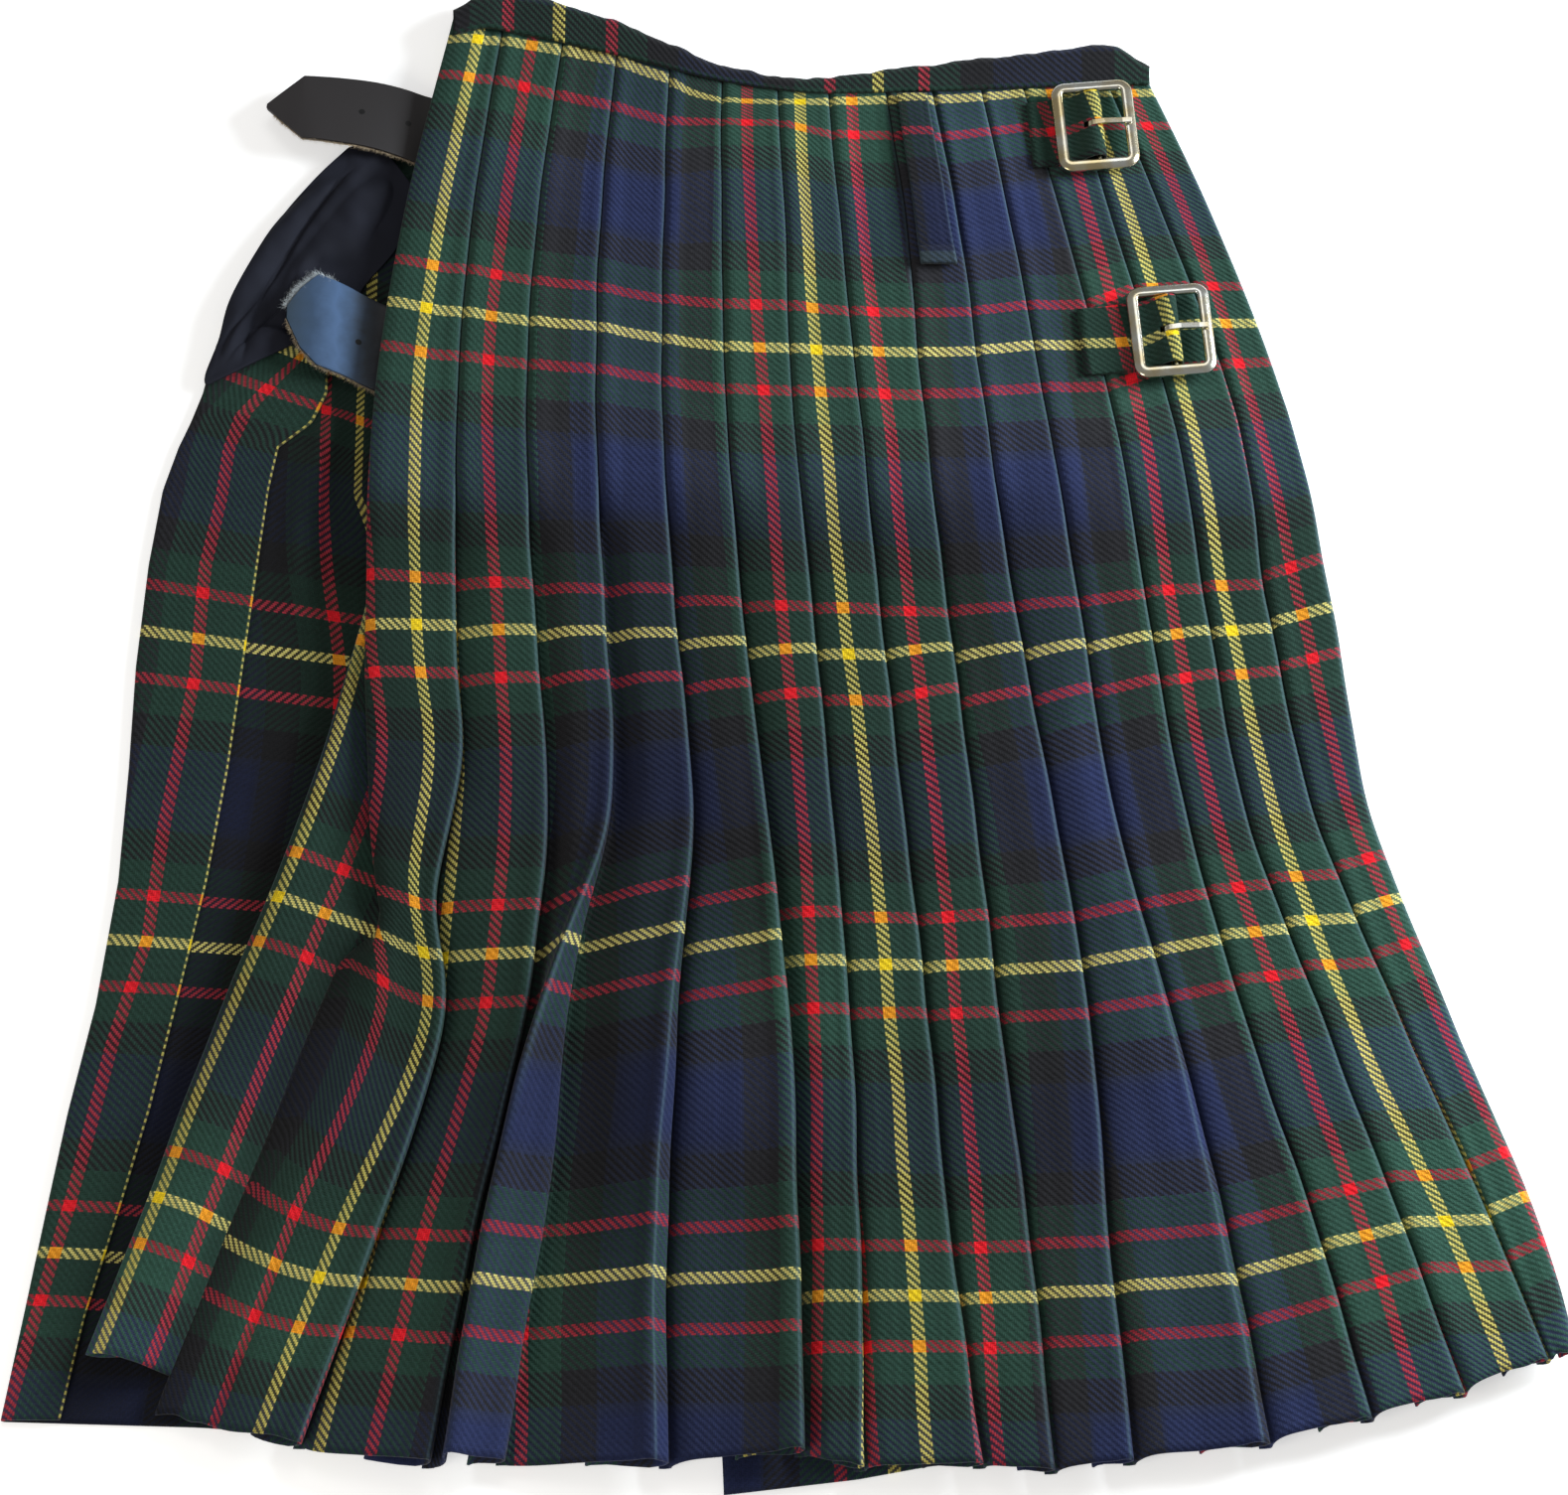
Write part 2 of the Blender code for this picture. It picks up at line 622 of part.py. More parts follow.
def prong_outline():
    """Side view of the prong, x along it and y up: an eye round the bar, open below, and a tongue."""
    outer = PRONG_BORE + PRONG_THICK
    low = BUCKLE_THICK / 2 + SEAM_GAP
    high = low + PRONG_THICK
    points = []
    for angle in np.radians(np.linspace(300, 90, 12)):
        points.append((outer * math.cos(angle), outer * math.sin(angle)))
    points.append((PRONG_NECK, high + 0.75))
    points.append((PRONG_REACH - PRONG_TAPER, high + 0.1))
    points.append((PRONG_REACH - PRONG_NOSE, high))
    points.append((PRONG_REACH, 0.5 * (low + high)))
    points.append((PRONG_REACH - PRONG_NOSE, low))
    points.append((PRONG_REACH - PRONG_TAPER, low + 0.05))
    points.append((PRONG_NECK, low + 0.65))
    for angle in np.radians(np.linspace(60, 300, 11)):
        points.append((PRONG_BORE * math.cos(angle), PRONG_BORE * math.sin(angle)))
    return points[::-1]


def tab_grid(length):
    """Sections along the bar: the lower layer, round the bar, and back over through the left window."""
    under = -TAB_DROP
    over = -BUCKLE_THICK / 2 - SEAM_GAP - TAB_CLOTH / 2
    window_left = -(BUCKLE_WIDTH / 2 - BUCKLE_RIM)
    section = [(-length, under), (-0.5 * length, under), (-3.2, under)]
    for angle in np.radians((-100, -60, -20, 20, 60, 100)):
        section.append((TAB_TURN * math.cos(angle), TAB_TURN * math.sin(angle)))
    section.append((-3.6, 1.1))
    section.append((-6.4, -0.9))
    section.append((window_left + 1.4, over))
    section.append((0.5 * (window_left - length), over))
    section.append((-length, over))
    rows = []
    for y in np.linspace(-TAB_WIDTH / 2, TAB_WIDTH / 2, 5):
        rows.append([(x, y, z) for x, z in section])
    return np.array(rows)


def add_buckle(which, facts, collection, cutters, materials):
    """Frame, prong and cloth tab round one middle bar, parented to an empty on the bar's axis."""
    axis = bpy.data.objects.new(f"{which}_bar_axis", None)
    x, y = facts["place"]
    axis.location = placed(x, y, facts["axis_height"])
    axis.rotation_euler = (0, 0, math.radians(facts["turn_deg"]))
    collection.objects.link(axis)

    metal = materials["buckle_metal"]
    frame = add_buckle_frame(f"buckle_frame_{which}", collection, metal)
    prong_name = f"buckle_prong_{which}"
    prong = add_outline(prong_name, [prong_outline()], PRONG_WIDTH, PRONG_ROUNDING, collection, metal)
    prong.rotation_euler = (math.radians(90), 0, 0)
    tab_name = f"buckle_tab_{which}"
    tab = add_wall(tab_name, tab_grid(facts["tab_length"]), TAB_CLOTH, collection, materials["tartan_cloth"])

    bpy.ops.mesh.primitive_cube_add(size=1)
    slot = bpy.context.object
    slot.name = f"{which}_prong_slot"
    slot.scale = (TAB_SLOT_LENGTH * MM, TAB_SLOT * MM, TAB_SLOT_LENGTH * MM)
    slot.location = (TAB_SLOT_AHEAD * MM, 0, 0)
    move_to(slot, cutters)
    hide_helper(slot)
    cut = tab.modifiers.new("prong_slot", "BOOLEAN")
    cut.operation = "DIFFERENCE"
    cut.object = slot
    for piece in (frame, prong, tab, slot):
        piece.parent = axis


def belt_loop_grid():
    """Sections down the loop: flat at its sewn ends and a little arched between."""
    rows = []
    for share in np.linspace(0, 1, 9):
        x = LOOP_TOP[0] + share * (LOOP_FOOT[0] - LOOP_TOP[0])
        y = LOOP_TOP[1] + share * (LOOP_FOOT[1] - LOOP_TOP[1])
        sewn_down = floor_layer() + 2 * layer(y) + PLEAT_CROWN + CLOTH / 2 + SEAM_GAP + LOOP_THICK / 2
        z = sewn_down + LOOP_ARCH * math.sin(math.pi * share)
        rows.append([(x + side * LOOP_WIDTH / 2, y, z) for side in (1, 0.5, -0.5, -1)])
    return np.array(rows)


def build():
    clear_scene()
    kilt = make_collection("kilt")
    cutters = make_collection("cutters")
    materials = {name: make_material(name) for name in COLOURS}
    tartan = materials["tartan_cloth"]

    add_wall("over_apron", on_footprint(over_apron_grid()), CLOTH, kilt, tartan)
    add_wall("under_apron", on_footprint(under_apron_grid()), CLOTH, kilt, tartan)
    add_wall("pleated_back", on_footprint(pleated_back_grid()), CLOTH, kilt, tartan)
    add_wall("waistband", on_footprint(waistband_grid()), CLOTH, kilt, tartan)
    add_wall("lining", on_footprint(lining_grid()), LINING_CLOTH, kilt, materials["lining_cloth"])
    add_wall("belt_loop", on_footprint(belt_loop_grid()), LOOP_THICK, kilt, tartan)
    add_strap("strap_upper", UPPER_STRAP, kilt, cutters, materials["strap_leather"])
    add_strap("strap_lower", LOWER_STRAP, kilt, cutters, materials["strap_leather"])
    for which, facts in BUCKLES.items():
        add_buckle(which, facts, kilt, cutters, materials)


build()
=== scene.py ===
"""The looks of a tartan kilt that lies flat on its aprons, with its pleated back up.

Every cloth piece is a sheet worked out as a grid of points in millimetres, with a UV map that holds
the weaver's count: u runs across the kilt and v along it, both in repeats of the tartan.
"""
import math
from collections import namedtuple

import bpy
import numpy as np
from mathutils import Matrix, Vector


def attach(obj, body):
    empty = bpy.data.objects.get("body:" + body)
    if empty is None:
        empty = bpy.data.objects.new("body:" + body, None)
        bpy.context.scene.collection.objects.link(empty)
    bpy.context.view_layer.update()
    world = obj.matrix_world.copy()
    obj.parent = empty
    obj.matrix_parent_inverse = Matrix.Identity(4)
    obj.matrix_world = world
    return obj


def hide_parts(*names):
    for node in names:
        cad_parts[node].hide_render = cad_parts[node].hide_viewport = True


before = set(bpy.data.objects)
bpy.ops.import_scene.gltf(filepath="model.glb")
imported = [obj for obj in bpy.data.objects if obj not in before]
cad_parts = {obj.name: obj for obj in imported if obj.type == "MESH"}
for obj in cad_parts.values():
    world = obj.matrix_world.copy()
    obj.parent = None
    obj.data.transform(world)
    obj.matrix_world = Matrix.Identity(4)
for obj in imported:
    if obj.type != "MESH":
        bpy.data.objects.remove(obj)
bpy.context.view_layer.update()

MM = 0.001
REPEAT = 122.0  # one repeat of the tartan
THREADS = 168  # threads in a repeat, both ways
HALF_SETT = THREADS // 2
MIDDLE = np.array((1.15, 1.9, 0))  # middle of the footprint in the tables' frame

CLOTH = 1.2  # how thick the wool is
APRON_LAYER = 1.6  # from the middle of one apron layer to the middle of the next
PLEATS_BOTTOM = 3.8
LOW = PLEATS_BOTTOM + CLOTH / 2  # middle of the lowest pleat layer

# ---- tables, in millimetres

STATIONS = (280, 200, 120, 40, -40, -120, -200, -280)
Fold = namedtuple("Fold", "x waist hem opens stands")
FOLDS = (
    Fold((-123, -139, -148, -149, -146, -140, -173, -204), 281, -262, 0, 0),
    Fold((-105, -115, -119, -118, -118, -119, -140.5, -166), 286, -273, 0, 2),
    Fold((-82, -91, -94, -90, -84, -91, -107, -120), 280, -280, 0, 4),
    Fold((-62, -68, -69, -65, -62, -86, -103, -114), 273, -279, 19, 8),
    Fold((-43, -45, -45, -40, -33, -40, -45, -44), 264, -280, 4, 5),
    Fold((-24, -24, -22, -16, -7, 1, 4, 6), 256, -276, 0, 5),
    Fold((-5, -1, 2, 9, 16, 22, 25, 26), 253, -281, 0, 1),
    Fold((13, 19, 26, 33, 41, 49, 56, 66), 254, -280, 0, 1),
    Fold((32, 43, 49, 57, 66, 74, 83, 90), 257, -282, 0, 0.5),
    Fold((48, 62, 71, 81, 94, 105, 110, 117), 260, -279, 0, 1),
    Fold((66, 81, 93, 104, 115, 133, 149, 162), 262, -273, 2, 1.8),
    Fold((80, 100, 117, 128, 140, 159, 182, 201), 263, -264, 0, 1),
    Fold((99, 118, 138, 149, 161, 186, 212, 237), 264, -255, 0, 1),
    Fold((109, 137, 161, 171, 185, 213, 243, 271), 264, -243, 0, 0.5),
    Fold((123, 155, 180, 194, 205, 231, 259, 275), 258, -240, 0, 0),
)
FOLD_OPENS = (-40, -200)
FOLD_STANDS = (30, -150)
FLARE_FOLD = (-115, -131, -140, -149.5, -170.5, -198, -224, -251)
FLARE_VALLEY = (-113, -129, -138, -139, -138, -165, -193, -220)
FLARE_FOLD_HEM = -240
FLARE_VALLEY_HEM = -247
FLARE_SLOPE_HEM = -246
FLARE_LINES_PAST = 12  # the cross lines run on this far past the valley
FLARE_OPENS = (-70, -97)
CREST_RISE = 6.5
LAYER_AT_WAIST = 1.75
LAYER_AT_FELL = 2.2
LAYER_AT_HEM = 2.9
FELL = 60
# How high a face starts beside the fold before it, as a share of the pleat's height: above the fell
# for all, and below it for each pleat.
SEWN_START = 0.94
FREE_START = (0.5, 0.3, 0.2, 0.05, 0.45, 0.4, 0.6, 0.6, 0.6, 0.55, 0.75, 0.85, 0.9, 0.9)
FELL_RUN = (62, 96)
HIP_RISE = 3.0  # the back stands highest along the fell
HIP_Y = 88
HIP_SPREAD = 62
PLEAT_WALL = 0.9
TUCK_SHARE = 0.5
LEAST_TUCK = 4.0
PLEAT_CROWN = 0.4  # how far a face bulges beside its fold

# One tartan line down each pleat: its count across, and its x at each station. Where x is None, the
# line lies beside the fold.
Line = namedtuple("Line", "count x")
LINES = (
    Line(0.00, (-113, -125.6, -132.6, -130.8, -127.1, -123.7, -152.2, -180)),
    Line(0.15, (-91.9, -102.3, -107.4, -102, -97.4, -104.3, -122.7, -139)),
    Line(0.333, None),
    Line(0.363, (-71, -73, -73, -68, -61, -58, -64, -64)),
    Line(0.667, None),
    Line(0.85, (-14.4, -12.9, -7.4, -0.9, 6.4, 10.6, 11.7, 10.5)),
    Line(1.00, (4.6, 7.6, 13.5, 21.3, 30.5, 37.6, 43.7, 49.3)),
    Line(1.15, (22.9, 27.9, 36.8, 45.2, 53.9, 61, 67.8, 73.2)),
    Line(1.333, None),
    Line(1.5, None),
    Line(1.637, (75, 95, 104, 113.4, 125.4, 144.4, 167.4, 186.4)),
    Line(1.85, (91, 110.9, 127.4, 138.1, 151.6, 175.5, 200.1, 221)),
    Line(2.00, (101, 126, 145.1, 157.8, 172.9, 198.4, 230, 257)),
    Line(2.15, (115, 145.7, 168.3, 184, 199.5, 228.1, 260.8, 288)),
)
LINE_BESIDE_FOLD = (0.07, 0.09, 0.10, 0.095, 0.09, 0.10, 0.11, 0.13)  # in repeats, at each station
FIRST_SQUEEZE = 0.1  # how much closer the first pleat's lines lie below its fell
LAST_SQUEEZE = 0.27  # and the last one's low down
FIRST_BEFORE = 0.65  # the first pleat's cross lines begin to turn before its left edge,
FIRST_DROOP = 0.7  # and turn more on its left than on its right

# Where the cross lines lie on each pleat: y at its left and right edge.
Cross = namedtuple("Cross", "hem_yellow low_yellow hip_yellow hip_red")
CROSSES = (
    Cross((-208, -216), (-88, -95), (31, 32), (51, 50)),
    Cross((-214, -219), (-94, -95), (30, 30), (49, 48)),
    Cross((-214, -217), (-94, -90), (29, 30), (47, 46)),
    Cross((-214, -213), (-91, -85), (29, 29), (47, 46)),
    Cross((-214, -214), (-92, -88), (25, 26), (42, 41)),
    Cross((-220, -221), (-96, -97), (22, 23), (40, 39)),
    Cross((-220, -221), (-98, -99), (21, 20), (39, 38)),
    Cross((-221, -221), (-99, -98), (21, 24), (38, 37)),
    Cross((-219, -219), (-100, -99), (20, 24), (38, 39)),
    Cross((-217, -215), (-97, -94), (21, 25), (40, 41)),
    Cross((-213, -205), (-93, -89), (23, 28), (41, 44)),
    Cross((-202, -196), (-87, -85), (27, 30), (45, 46)),
    Cross((-194, -193), (-82, -81), (29, 31), (47, 48)),
    Cross((-190, -184), (-78, -73), (33, 39), (51, 58)),
)
# Cross lines that run on over every pleat: x and y. Then the count along of all seven cross lines.
SEAT_YELLOW = ((-141, 162), (-128, 159), (-93, 154), (-69, 151), (-46, 148), (-22, 144), (12, 143),
               (49, 141), (67, 141), (90, 142), (110, 145), (138, 145), (157, 152), (172, 154))
TOP_RED = ((-129, 257), (-97, 250), (-65, 241), (-44, 238), (-14, 238), (24, 237), (42, 231),
           (56, 232), (92, 231), (134, 236), (140, 236))
TOP_YELLOW = ((-124, 272), (-115, 273), (-98, 269), (-84, 266), (-64, 260), (-44, 257), (-24, 250),
              (-5, 246), (37, 246), (53, 247), (92, 247), (125, 249), (136, 250))
CROSS_COUNTS = (0, 1, 2, 2.15, 3, 3.85, 4)

# The flared fold left of the first pleat: x of its yellow line, and y of the cross lines at its left
# and right.
FLARE_YELLOW = (-113, -131, -140, -147.5, -166, -193, -219, -245)
FLARE_CROSS = Cross((-183, -198), (-71, -86), (45, 32), (62, 50))

# Waistband: x, its lower edge, and its rolled top edge.
BandPoint = namedtuple("BandPoint", "x lower top")
BAND = [BandPoint(*row) for row in (
    (-123, 273, 285), (-112, 276, 291), (-96, 274, 291), (-64, 266, 281), (-20, 254, 261),
    (5, 250, 256.5), (40, 250, 260.5), (92, 252, 267), (124, 253, 268.5), (134, 253, 262),
)]
BAND_UNDERSIDE = 2.1
BAND_LEG = 7.0  # how deep it is turned under
BAND_LIFT = 0.15
BAND_COUNT_ALONG = 4.25  # the tartan's count along where the band's face begins
FIRST_PLEAT_ENDS = (-112, -98)
BAND_COUNT = ((-123, -0.31), (-103, -0.15), (-84, 0.0), (-64, 0.15), (16, 0.85), (34, 1.0), (51, 1.15),
              (131, 1.82), (136, 1.84))

# Over apron: y, x of its left folded edge, and x of the free edge of the strip turned back over it.
ApronRow = namedtuple("ApronRow", "y fold strip_edge")
OVER_APRON = [ApronRow(*row) for row in (
    (-262, -266, -246), (-225, -260, -239), (-187, -254, -229), (-150, -248, -220),
    (-110, -240, -212), (-63, -234, -203), (-20, -232, -197), (20, -231, -193), (60, -228, -189),
    (90, -224, -186), (107, -219, -183), (117, -215, -171), (129, -211, -166), (148, -207, -166),
    (154, -205, -203), (166, -201, -199), (180, -196, -194), (205, -178, -176), (228, -159, -157),
    (238, -150, -148),
)]
OVER_APRON_HEM = ((-266, -262), (-200, -264), (-120, -270), (60, -272), (190, -262), (266, -236))
OVER_APRON_WAIST = ((-150, 238), (-115, 248), (-95, 262), (-60, 262), (10, 245), (130, 245))
APRON_TURN = 1.4  # the half turn starts this far inside the fold
STRIP_SWELL = 0.25  # how far the strip bulges, and what parts it from the panel
STRIP_GAP = 0.1
EDGE_INSET = 5  # how far the aprons' right edges hide behind the last fold
# The lines on the apron's wrong side and on its strip as y and x, and its cross lines as y and count.
APRON_RED = ((-262, -192), (-150, -178), (-63, -165), (20, -159), (64, -165), (127, -166), (240, -170))
APRON_YELLOW = ((-262, -160), (20, -140), (70, -147), (88, -154), (128, -154), (165, -151), (240, -151))
STRIP_RED = ((-259, -264), (-221, -255), (-184, -246), (-125, -234), (-85, -223), (-42, -219), (16, -210),
             (59, -208), (86, -203), (106, -201), (120, -197), (132, -187), (143, -176), (165, -160),
             (240, -120))
STRIP_EDGE_COUNT = -2.1 / THREADS  # where the strip's free edge cuts the yellow line
RED_COUNT = 0.15  # from the middle of a yellow line to the middle of a red one
APRON_CROSS = ((-203, 0), (-86, 1), (34, 2), (53, 2.15), (148, 2.85), (167, 3), (278, 3.95))
APRON_SLANT = ((-120, 0.05), (20, 0.15), (50, 0.2), (130, 0.42))  # y, and how the cross lines fall
APRON_SLANT_FROM = -231
APRON_RIDGE = ((40, -176), (75, -174), (100, -170), (125, -160))
RIDGE_RISE = 2.8
RIDGE_WIDTH = 5.5

UNDER_APRON_WAIST = 243
UNDER_APRON_LEFT = ((-288, -21), (UNDER_APRON_WAIST, -46))
UNDER_APRON_HEM = ((-21, -288.5), (23, -283), (80, -272), (190, -260), (262, -235))
UNDER_APRON_YELLOW = -214  # y of its lowest yellow line, from which the next is CROSS_APART away
CROSS_APART = 120

LiningRow = namedtuple("LiningRow", "left_x left_y right_x right_y")
LINING = [LiningRow(*row) for row in (
    (-212, 131, -160, 158), (-206, 147, -154, 172), (-202, 165, -143, 187), (-192, 187, -137, 201),
    (-184, 201, -136, 211), (-172, 217, -141, 220), (-161, 229, -150, 232),
)]
LINING_SHOWN = 0.8  # how thick it is
LINING_RISE = 3.4
# Sharp creases in the lining, as x and y along each; the cloth stands a little higher right of them.
LINING_CREASES = (
    ((-157, 222), (-163, 216), (-171, 205), (-177, 194), (-183, 182), (-191, 168), (-201, 152),
     (-207, 138)),
    ((-178, 179), (-181, 166), (-191, 154), (-199, 146), (-205, 137)),
)
LINING_LOWEST = 2.5

StrapPoint = namedtuple("StrapPoint", "x y underside half_width roll")
UPPER_STRAP = [StrapPoint(*row) for row in (
    (-191.0, 244.5, 6.6, 0.8, 0.1), (-184.5, 243.9, 6.5, 7.2, 2.0), (-177.5, 243.4, 6.3, 14.0, 4.0),
    (-165.0, 242.4, 5.8, 14.4, 4.0), (-150.0, 240.8, 4.6, 14.5, 2.4), (-141.0, 239.0, 3.4, 14.5, 0.8),
    (-133.0, 237.0, 1.5, 14.5, 0.0), (-120.0, 234.0, 1.5, 14.5, 0.0),
)]
LOWER_STRAP = [StrapPoint(*row) for row in (
    (-181.0, 159.0, 10.0, 0.8, 0.0), (-176.0, 157.5, 9.6, 10.0, -1.0), (-170.0, 155.5, 8.6, 18.0, -1.6),
    (-160.0, 152.0, 6.0, 18.0, -1.0), (-154.0, 149.5, 3.6, 18.0, -0.4), (-147.5, 147.0, 1.5, 18.0, 0.0),
    (-134.0, 142.0, 1.5, 18.0, 0.0),
)]
LEATHER = 2.0
LEATHER_SHOWN = 1.8  # the wall between its two faces, whose edges are then bevelled
LOWER_STRAP_BLUNT = 0.45
HOLE_RADIUS = 1.15

Buckle = namedtuple("Buckle", "x y turn_deg axis_height tab_length")
BUCKLES = {"upper": Buckle(113.5, 233.5, 5.0, 13.5, 24.0), "lower": Buckle(139.5, 148.5, 5.0, 14.0, 33.0)}
BUCKLE_WIDTH = 30.0
BUCKLE_RIM = 4.2
BUCKLE_THICK = 2.6
BUCKLE_HEIGHT = 37.0
BUCKLE_BEND = 3.2  # radius of the middle of the rim at its corners
MIDDLE_BAR = 1.1
# The rim's section: how far out from its middle, and how high. It is highest near its inner edge.
FRAME_SECTION = ((-2.1, -0.6), (-2.1, 0.7), (-1.5, 1.35), (-0.6, 1.4), (0.9, 1.0), (2.0, 0.2), (2.0, -0.7),
                 (1.2, -1.3), (-1.4, -1.3))
FIBRE = 0.05  # half the width of one fibre
TAB_WIDTH = 27.0
TAB_TURN = 2.5  # radius of its turn round the bar, and where on it the knots lie
TAB_TURN_DEG = range(-100, 101, 40)
TAB_DROP = 3.7  # how far its lower layer lies below the bar
TAB_STEPS = (4, 4, 4, 3, 3, 3, 3, 3, 3, 4, 5, 5, 5, 3)
TAB_OVERHANG = 10  # its cross lines are read this far either side of the bar
TAB_PLEAT = 12  # the pleat, counted from 0, whose lines it carries on
TAB_WALL = 0.9
TAB_SLOT = 3.4
TAB_SLOT_LEFT = -4.8
TAB_SAG = 0.5  # how far a tab's sewn end sinks to the pleats
SEAM_GAP = 0.3

LOOP_TOP = (46.3, 248.4)
LOOP_FOOT = (55.6, 177.0)
LOOP_WIDTH = 13.0
LOOP_THICK = 2.2
LOOP_WALL = 1.98
LOOP_ARCH = 1.5
LOOP_COUNT = 0.385  # the tartan's count across down its middle
LOOP_PLEAT = 7  # the pleat, counted from 0, whose cross lines it follows
LOOP_SPAN = (40, 60)

# ---- curves and grids

WAVER_SINES = 5
WAVER_SIZE = 2.4


def cubic(u, start, end, start_rise, end_rise):
    """From start to end as u goes from 0 to 1, setting off and arriving with the given rises."""
    return ((1 + 2 * u) * (1 - u) ** 2 * start + u * (1 - u) ** 2 * start_rise
            + u * u * (3 - 2 * u) * end - u * u * (1 - u) * end_rise)


def smooth(where, value, at, steady=False):
    """Values at rising places joined by one cubic curve, carried on straight past both ends. Steady
    takes the harmonic mean of the two chords as the slope at a knot, which keeps rising values rising."""
    where, value, at = (np.asarray(a, float) for a in (where, value, at))
    slopes = np.gradient(value, where)
    if steady:
        chords = np.diff(value) / np.diff(where)
        means = 2 * chords[1:] * chords[:-1] / (chords[1:] + chords[:-1])
        slopes = np.concatenate((chords[:1], means, chords[-1:]))
    inside = np.clip(at, where[0], where[-1])
    i = np.clip(np.searchsorted(where, inside, side="right") - 1, 0, len(where) - 2)
    step = where[i + 1] - where[i]
    u = (inside - where[i]) / step
    curve = cubic(u, value[i], value[i + 1], step * slopes[i], step * slopes[i + 1])
    beyond = at - inside
    return curve + beyond * np.where(beyond < 0, slopes[0], slopes[-1])


def along(values, y):
    """A row of x values at STATIONS, read at y."""
    return smooth(STATIONS[::-1], values[::-1], y)


def through(points, at):
    """A smooth curve through (where, value) points."""
    return smooth(*zip(*points), at)


def line(points, at):
    """Straight runs through (where, value) points."""
    return np.interp(at, *zip(*points))


def between(start, end, share):
    """Start where the share is 0, end where it is 1, and in proportion between them."""
    return start + share * (end - start)


def ease(low, high, at):
    """0 at low, 1 at high, with a smooth change between."""
    u = np.clip((np.asarray(at, float) - low) / (high - low), 0, 1)
    return u * u * (3 - 2 * u)


def bell(away, width):
    """1 at no distance, falling off as a bell of the given width."""
    return np.exp(-(away / width) ** 2)


def waver(seed, size, at, other=0.0):
    """A slow uneven wave between about -1 and 1: sines of unlike length and slant added up."""
    draw = np.random.default_rng(seed)
    total = 0.0
    for _ in range(WAVER_SINES):
        length = size * draw.uniform(0.6, 1.9)
        slant = draw.uniform(-1, 1)
        total = total + draw.uniform(0.5, 1) * np.sin(
            2 * math.pi * (at + slant * other) / length + draw.uniform(0, 2 * math.pi))
    return total / WAVER_SIZE


def stacked(*parts):
    """Arrays side by side in a new last axis, each stretched to the shape of them all."""
    return np.stack(np.broadcast_arrays(*parts), axis=-1)


def grid(rows, columns):
    """Shares from 0 to 1 down the rows and across the columns."""
    return np.linspace(0, 1, rows)[:, None], np.linspace(0, 1, columns)[None, :]


def knots_to_rows(knots, steps):
    """Rows of points through columns of knots (column, row, xyz): between two knots a cubic whose
    slopes are the chord-weighted means of its neighbours' slopes, cut into the given number of steps."""
    knots = np.asarray(knots, float)
    chord = np.linalg.norm(np.diff(knots, axis=0), axis=2)[..., None] + 1e-6
    rise = np.diff(knots, axis=0) / chord
    slope = np.empty_like(knots)
    slope[0], slope[-1] = rise[0], rise[-1]
    slope[1:-1] = (rise[1:] * chord[:-1] + rise[:-1] * chord[1:]) / (chord[1:] + chord[:-1])
    columns = []
    for i, count in enumerate(steps):
        u = (np.arange(count) / count)[:, None, None]
        columns.append(cubic(u, knots[i], knots[i + 1], chord[i] * slope[i], chord[i] * slope[i + 1]))
    columns.append(knots[-1:])
    return np.concatenate(columns).transpose(1, 0, 2)


def run_length(rows):
    """How far along each row every point lies, measured over the cloth."""
    steps = np.linalg.norm(np.diff(rows, axis=1), axis=2)
    return np.concatenate((np.zeros((len(rows), 1)), np.cumsum(steps, axis=1)), axis=1)


def add_mesh(name, mesh, finish, node):
    """A mesh becomes a piece of the kilt's body that stands for a CAD node."""
    mesh.materials.append(finish)
    piece = bpy.data.objects.new(name, mesh)
    bpy.context.scene.collection.objects.link(piece)
    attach(piece, "kilt")
    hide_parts(node)
    return piece


def add_piece(name, rows, uv, finish, node, wall=0.0, marks=None, left_out=None, ring=False):
    """A mesh of quads over a grid of points in millimetres, with its UV map and named marks. Quads can be
    left out, and a ring joins the last row and column to the first."""
    r, c = rows.shape[:2]
    across = np.arange(c if ring else c - 1)
    down = np.arange(r if ring else r - 1)[:, None]
    beside, below = (across + 1) % c, (down + 1) % r
    faces = stacked(down * c + across, down * c + beside, below * c + beside, below * c + across)
    faces = faces.reshape(-1, 4) if left_out is None else faces[~left_out]
    mesh = bpy.data.meshes.new(name)
    mesh.from_pydata(((rows - MIDDLE) * MM).reshape(-1, 3), [], faces)
    corners = uv.reshape(-1, 2)[faces].astype(np.float32)
    mesh.uv_layers.new(name="count").data.foreach_set("uv", corners.ravel())
    # each piece gets no painted edge highlight and even painted light, unless its marks say otherwise
    for mark, values in {"edge": 0, "painted_light": 1, **(marks or {})}.items():
        layer = mesh.attributes.new(mark, "FLOAT", "POINT")
        layer.data.foreach_set("value", np.broadcast_to(values, (r, c)).astype(np.float32).ravel())
    mesh.shade_smooth()
    piece = add_mesh(name, mesh, finish, node)
    if wall:
        thick = piece.modifiers.new("wall", "SOLIDIFY")
        thick.thickness = wall * MM
        thick.offset = 0.0
    return piece


def add_cloth(name, rows, uv, node, wall, marks=None, left_out=None):
    """A piece of tartan as large as its own rows."""
    piece = add_piece(name, rows, uv, TARTAN, node, wall, marks, left_out)


# ---- finishes


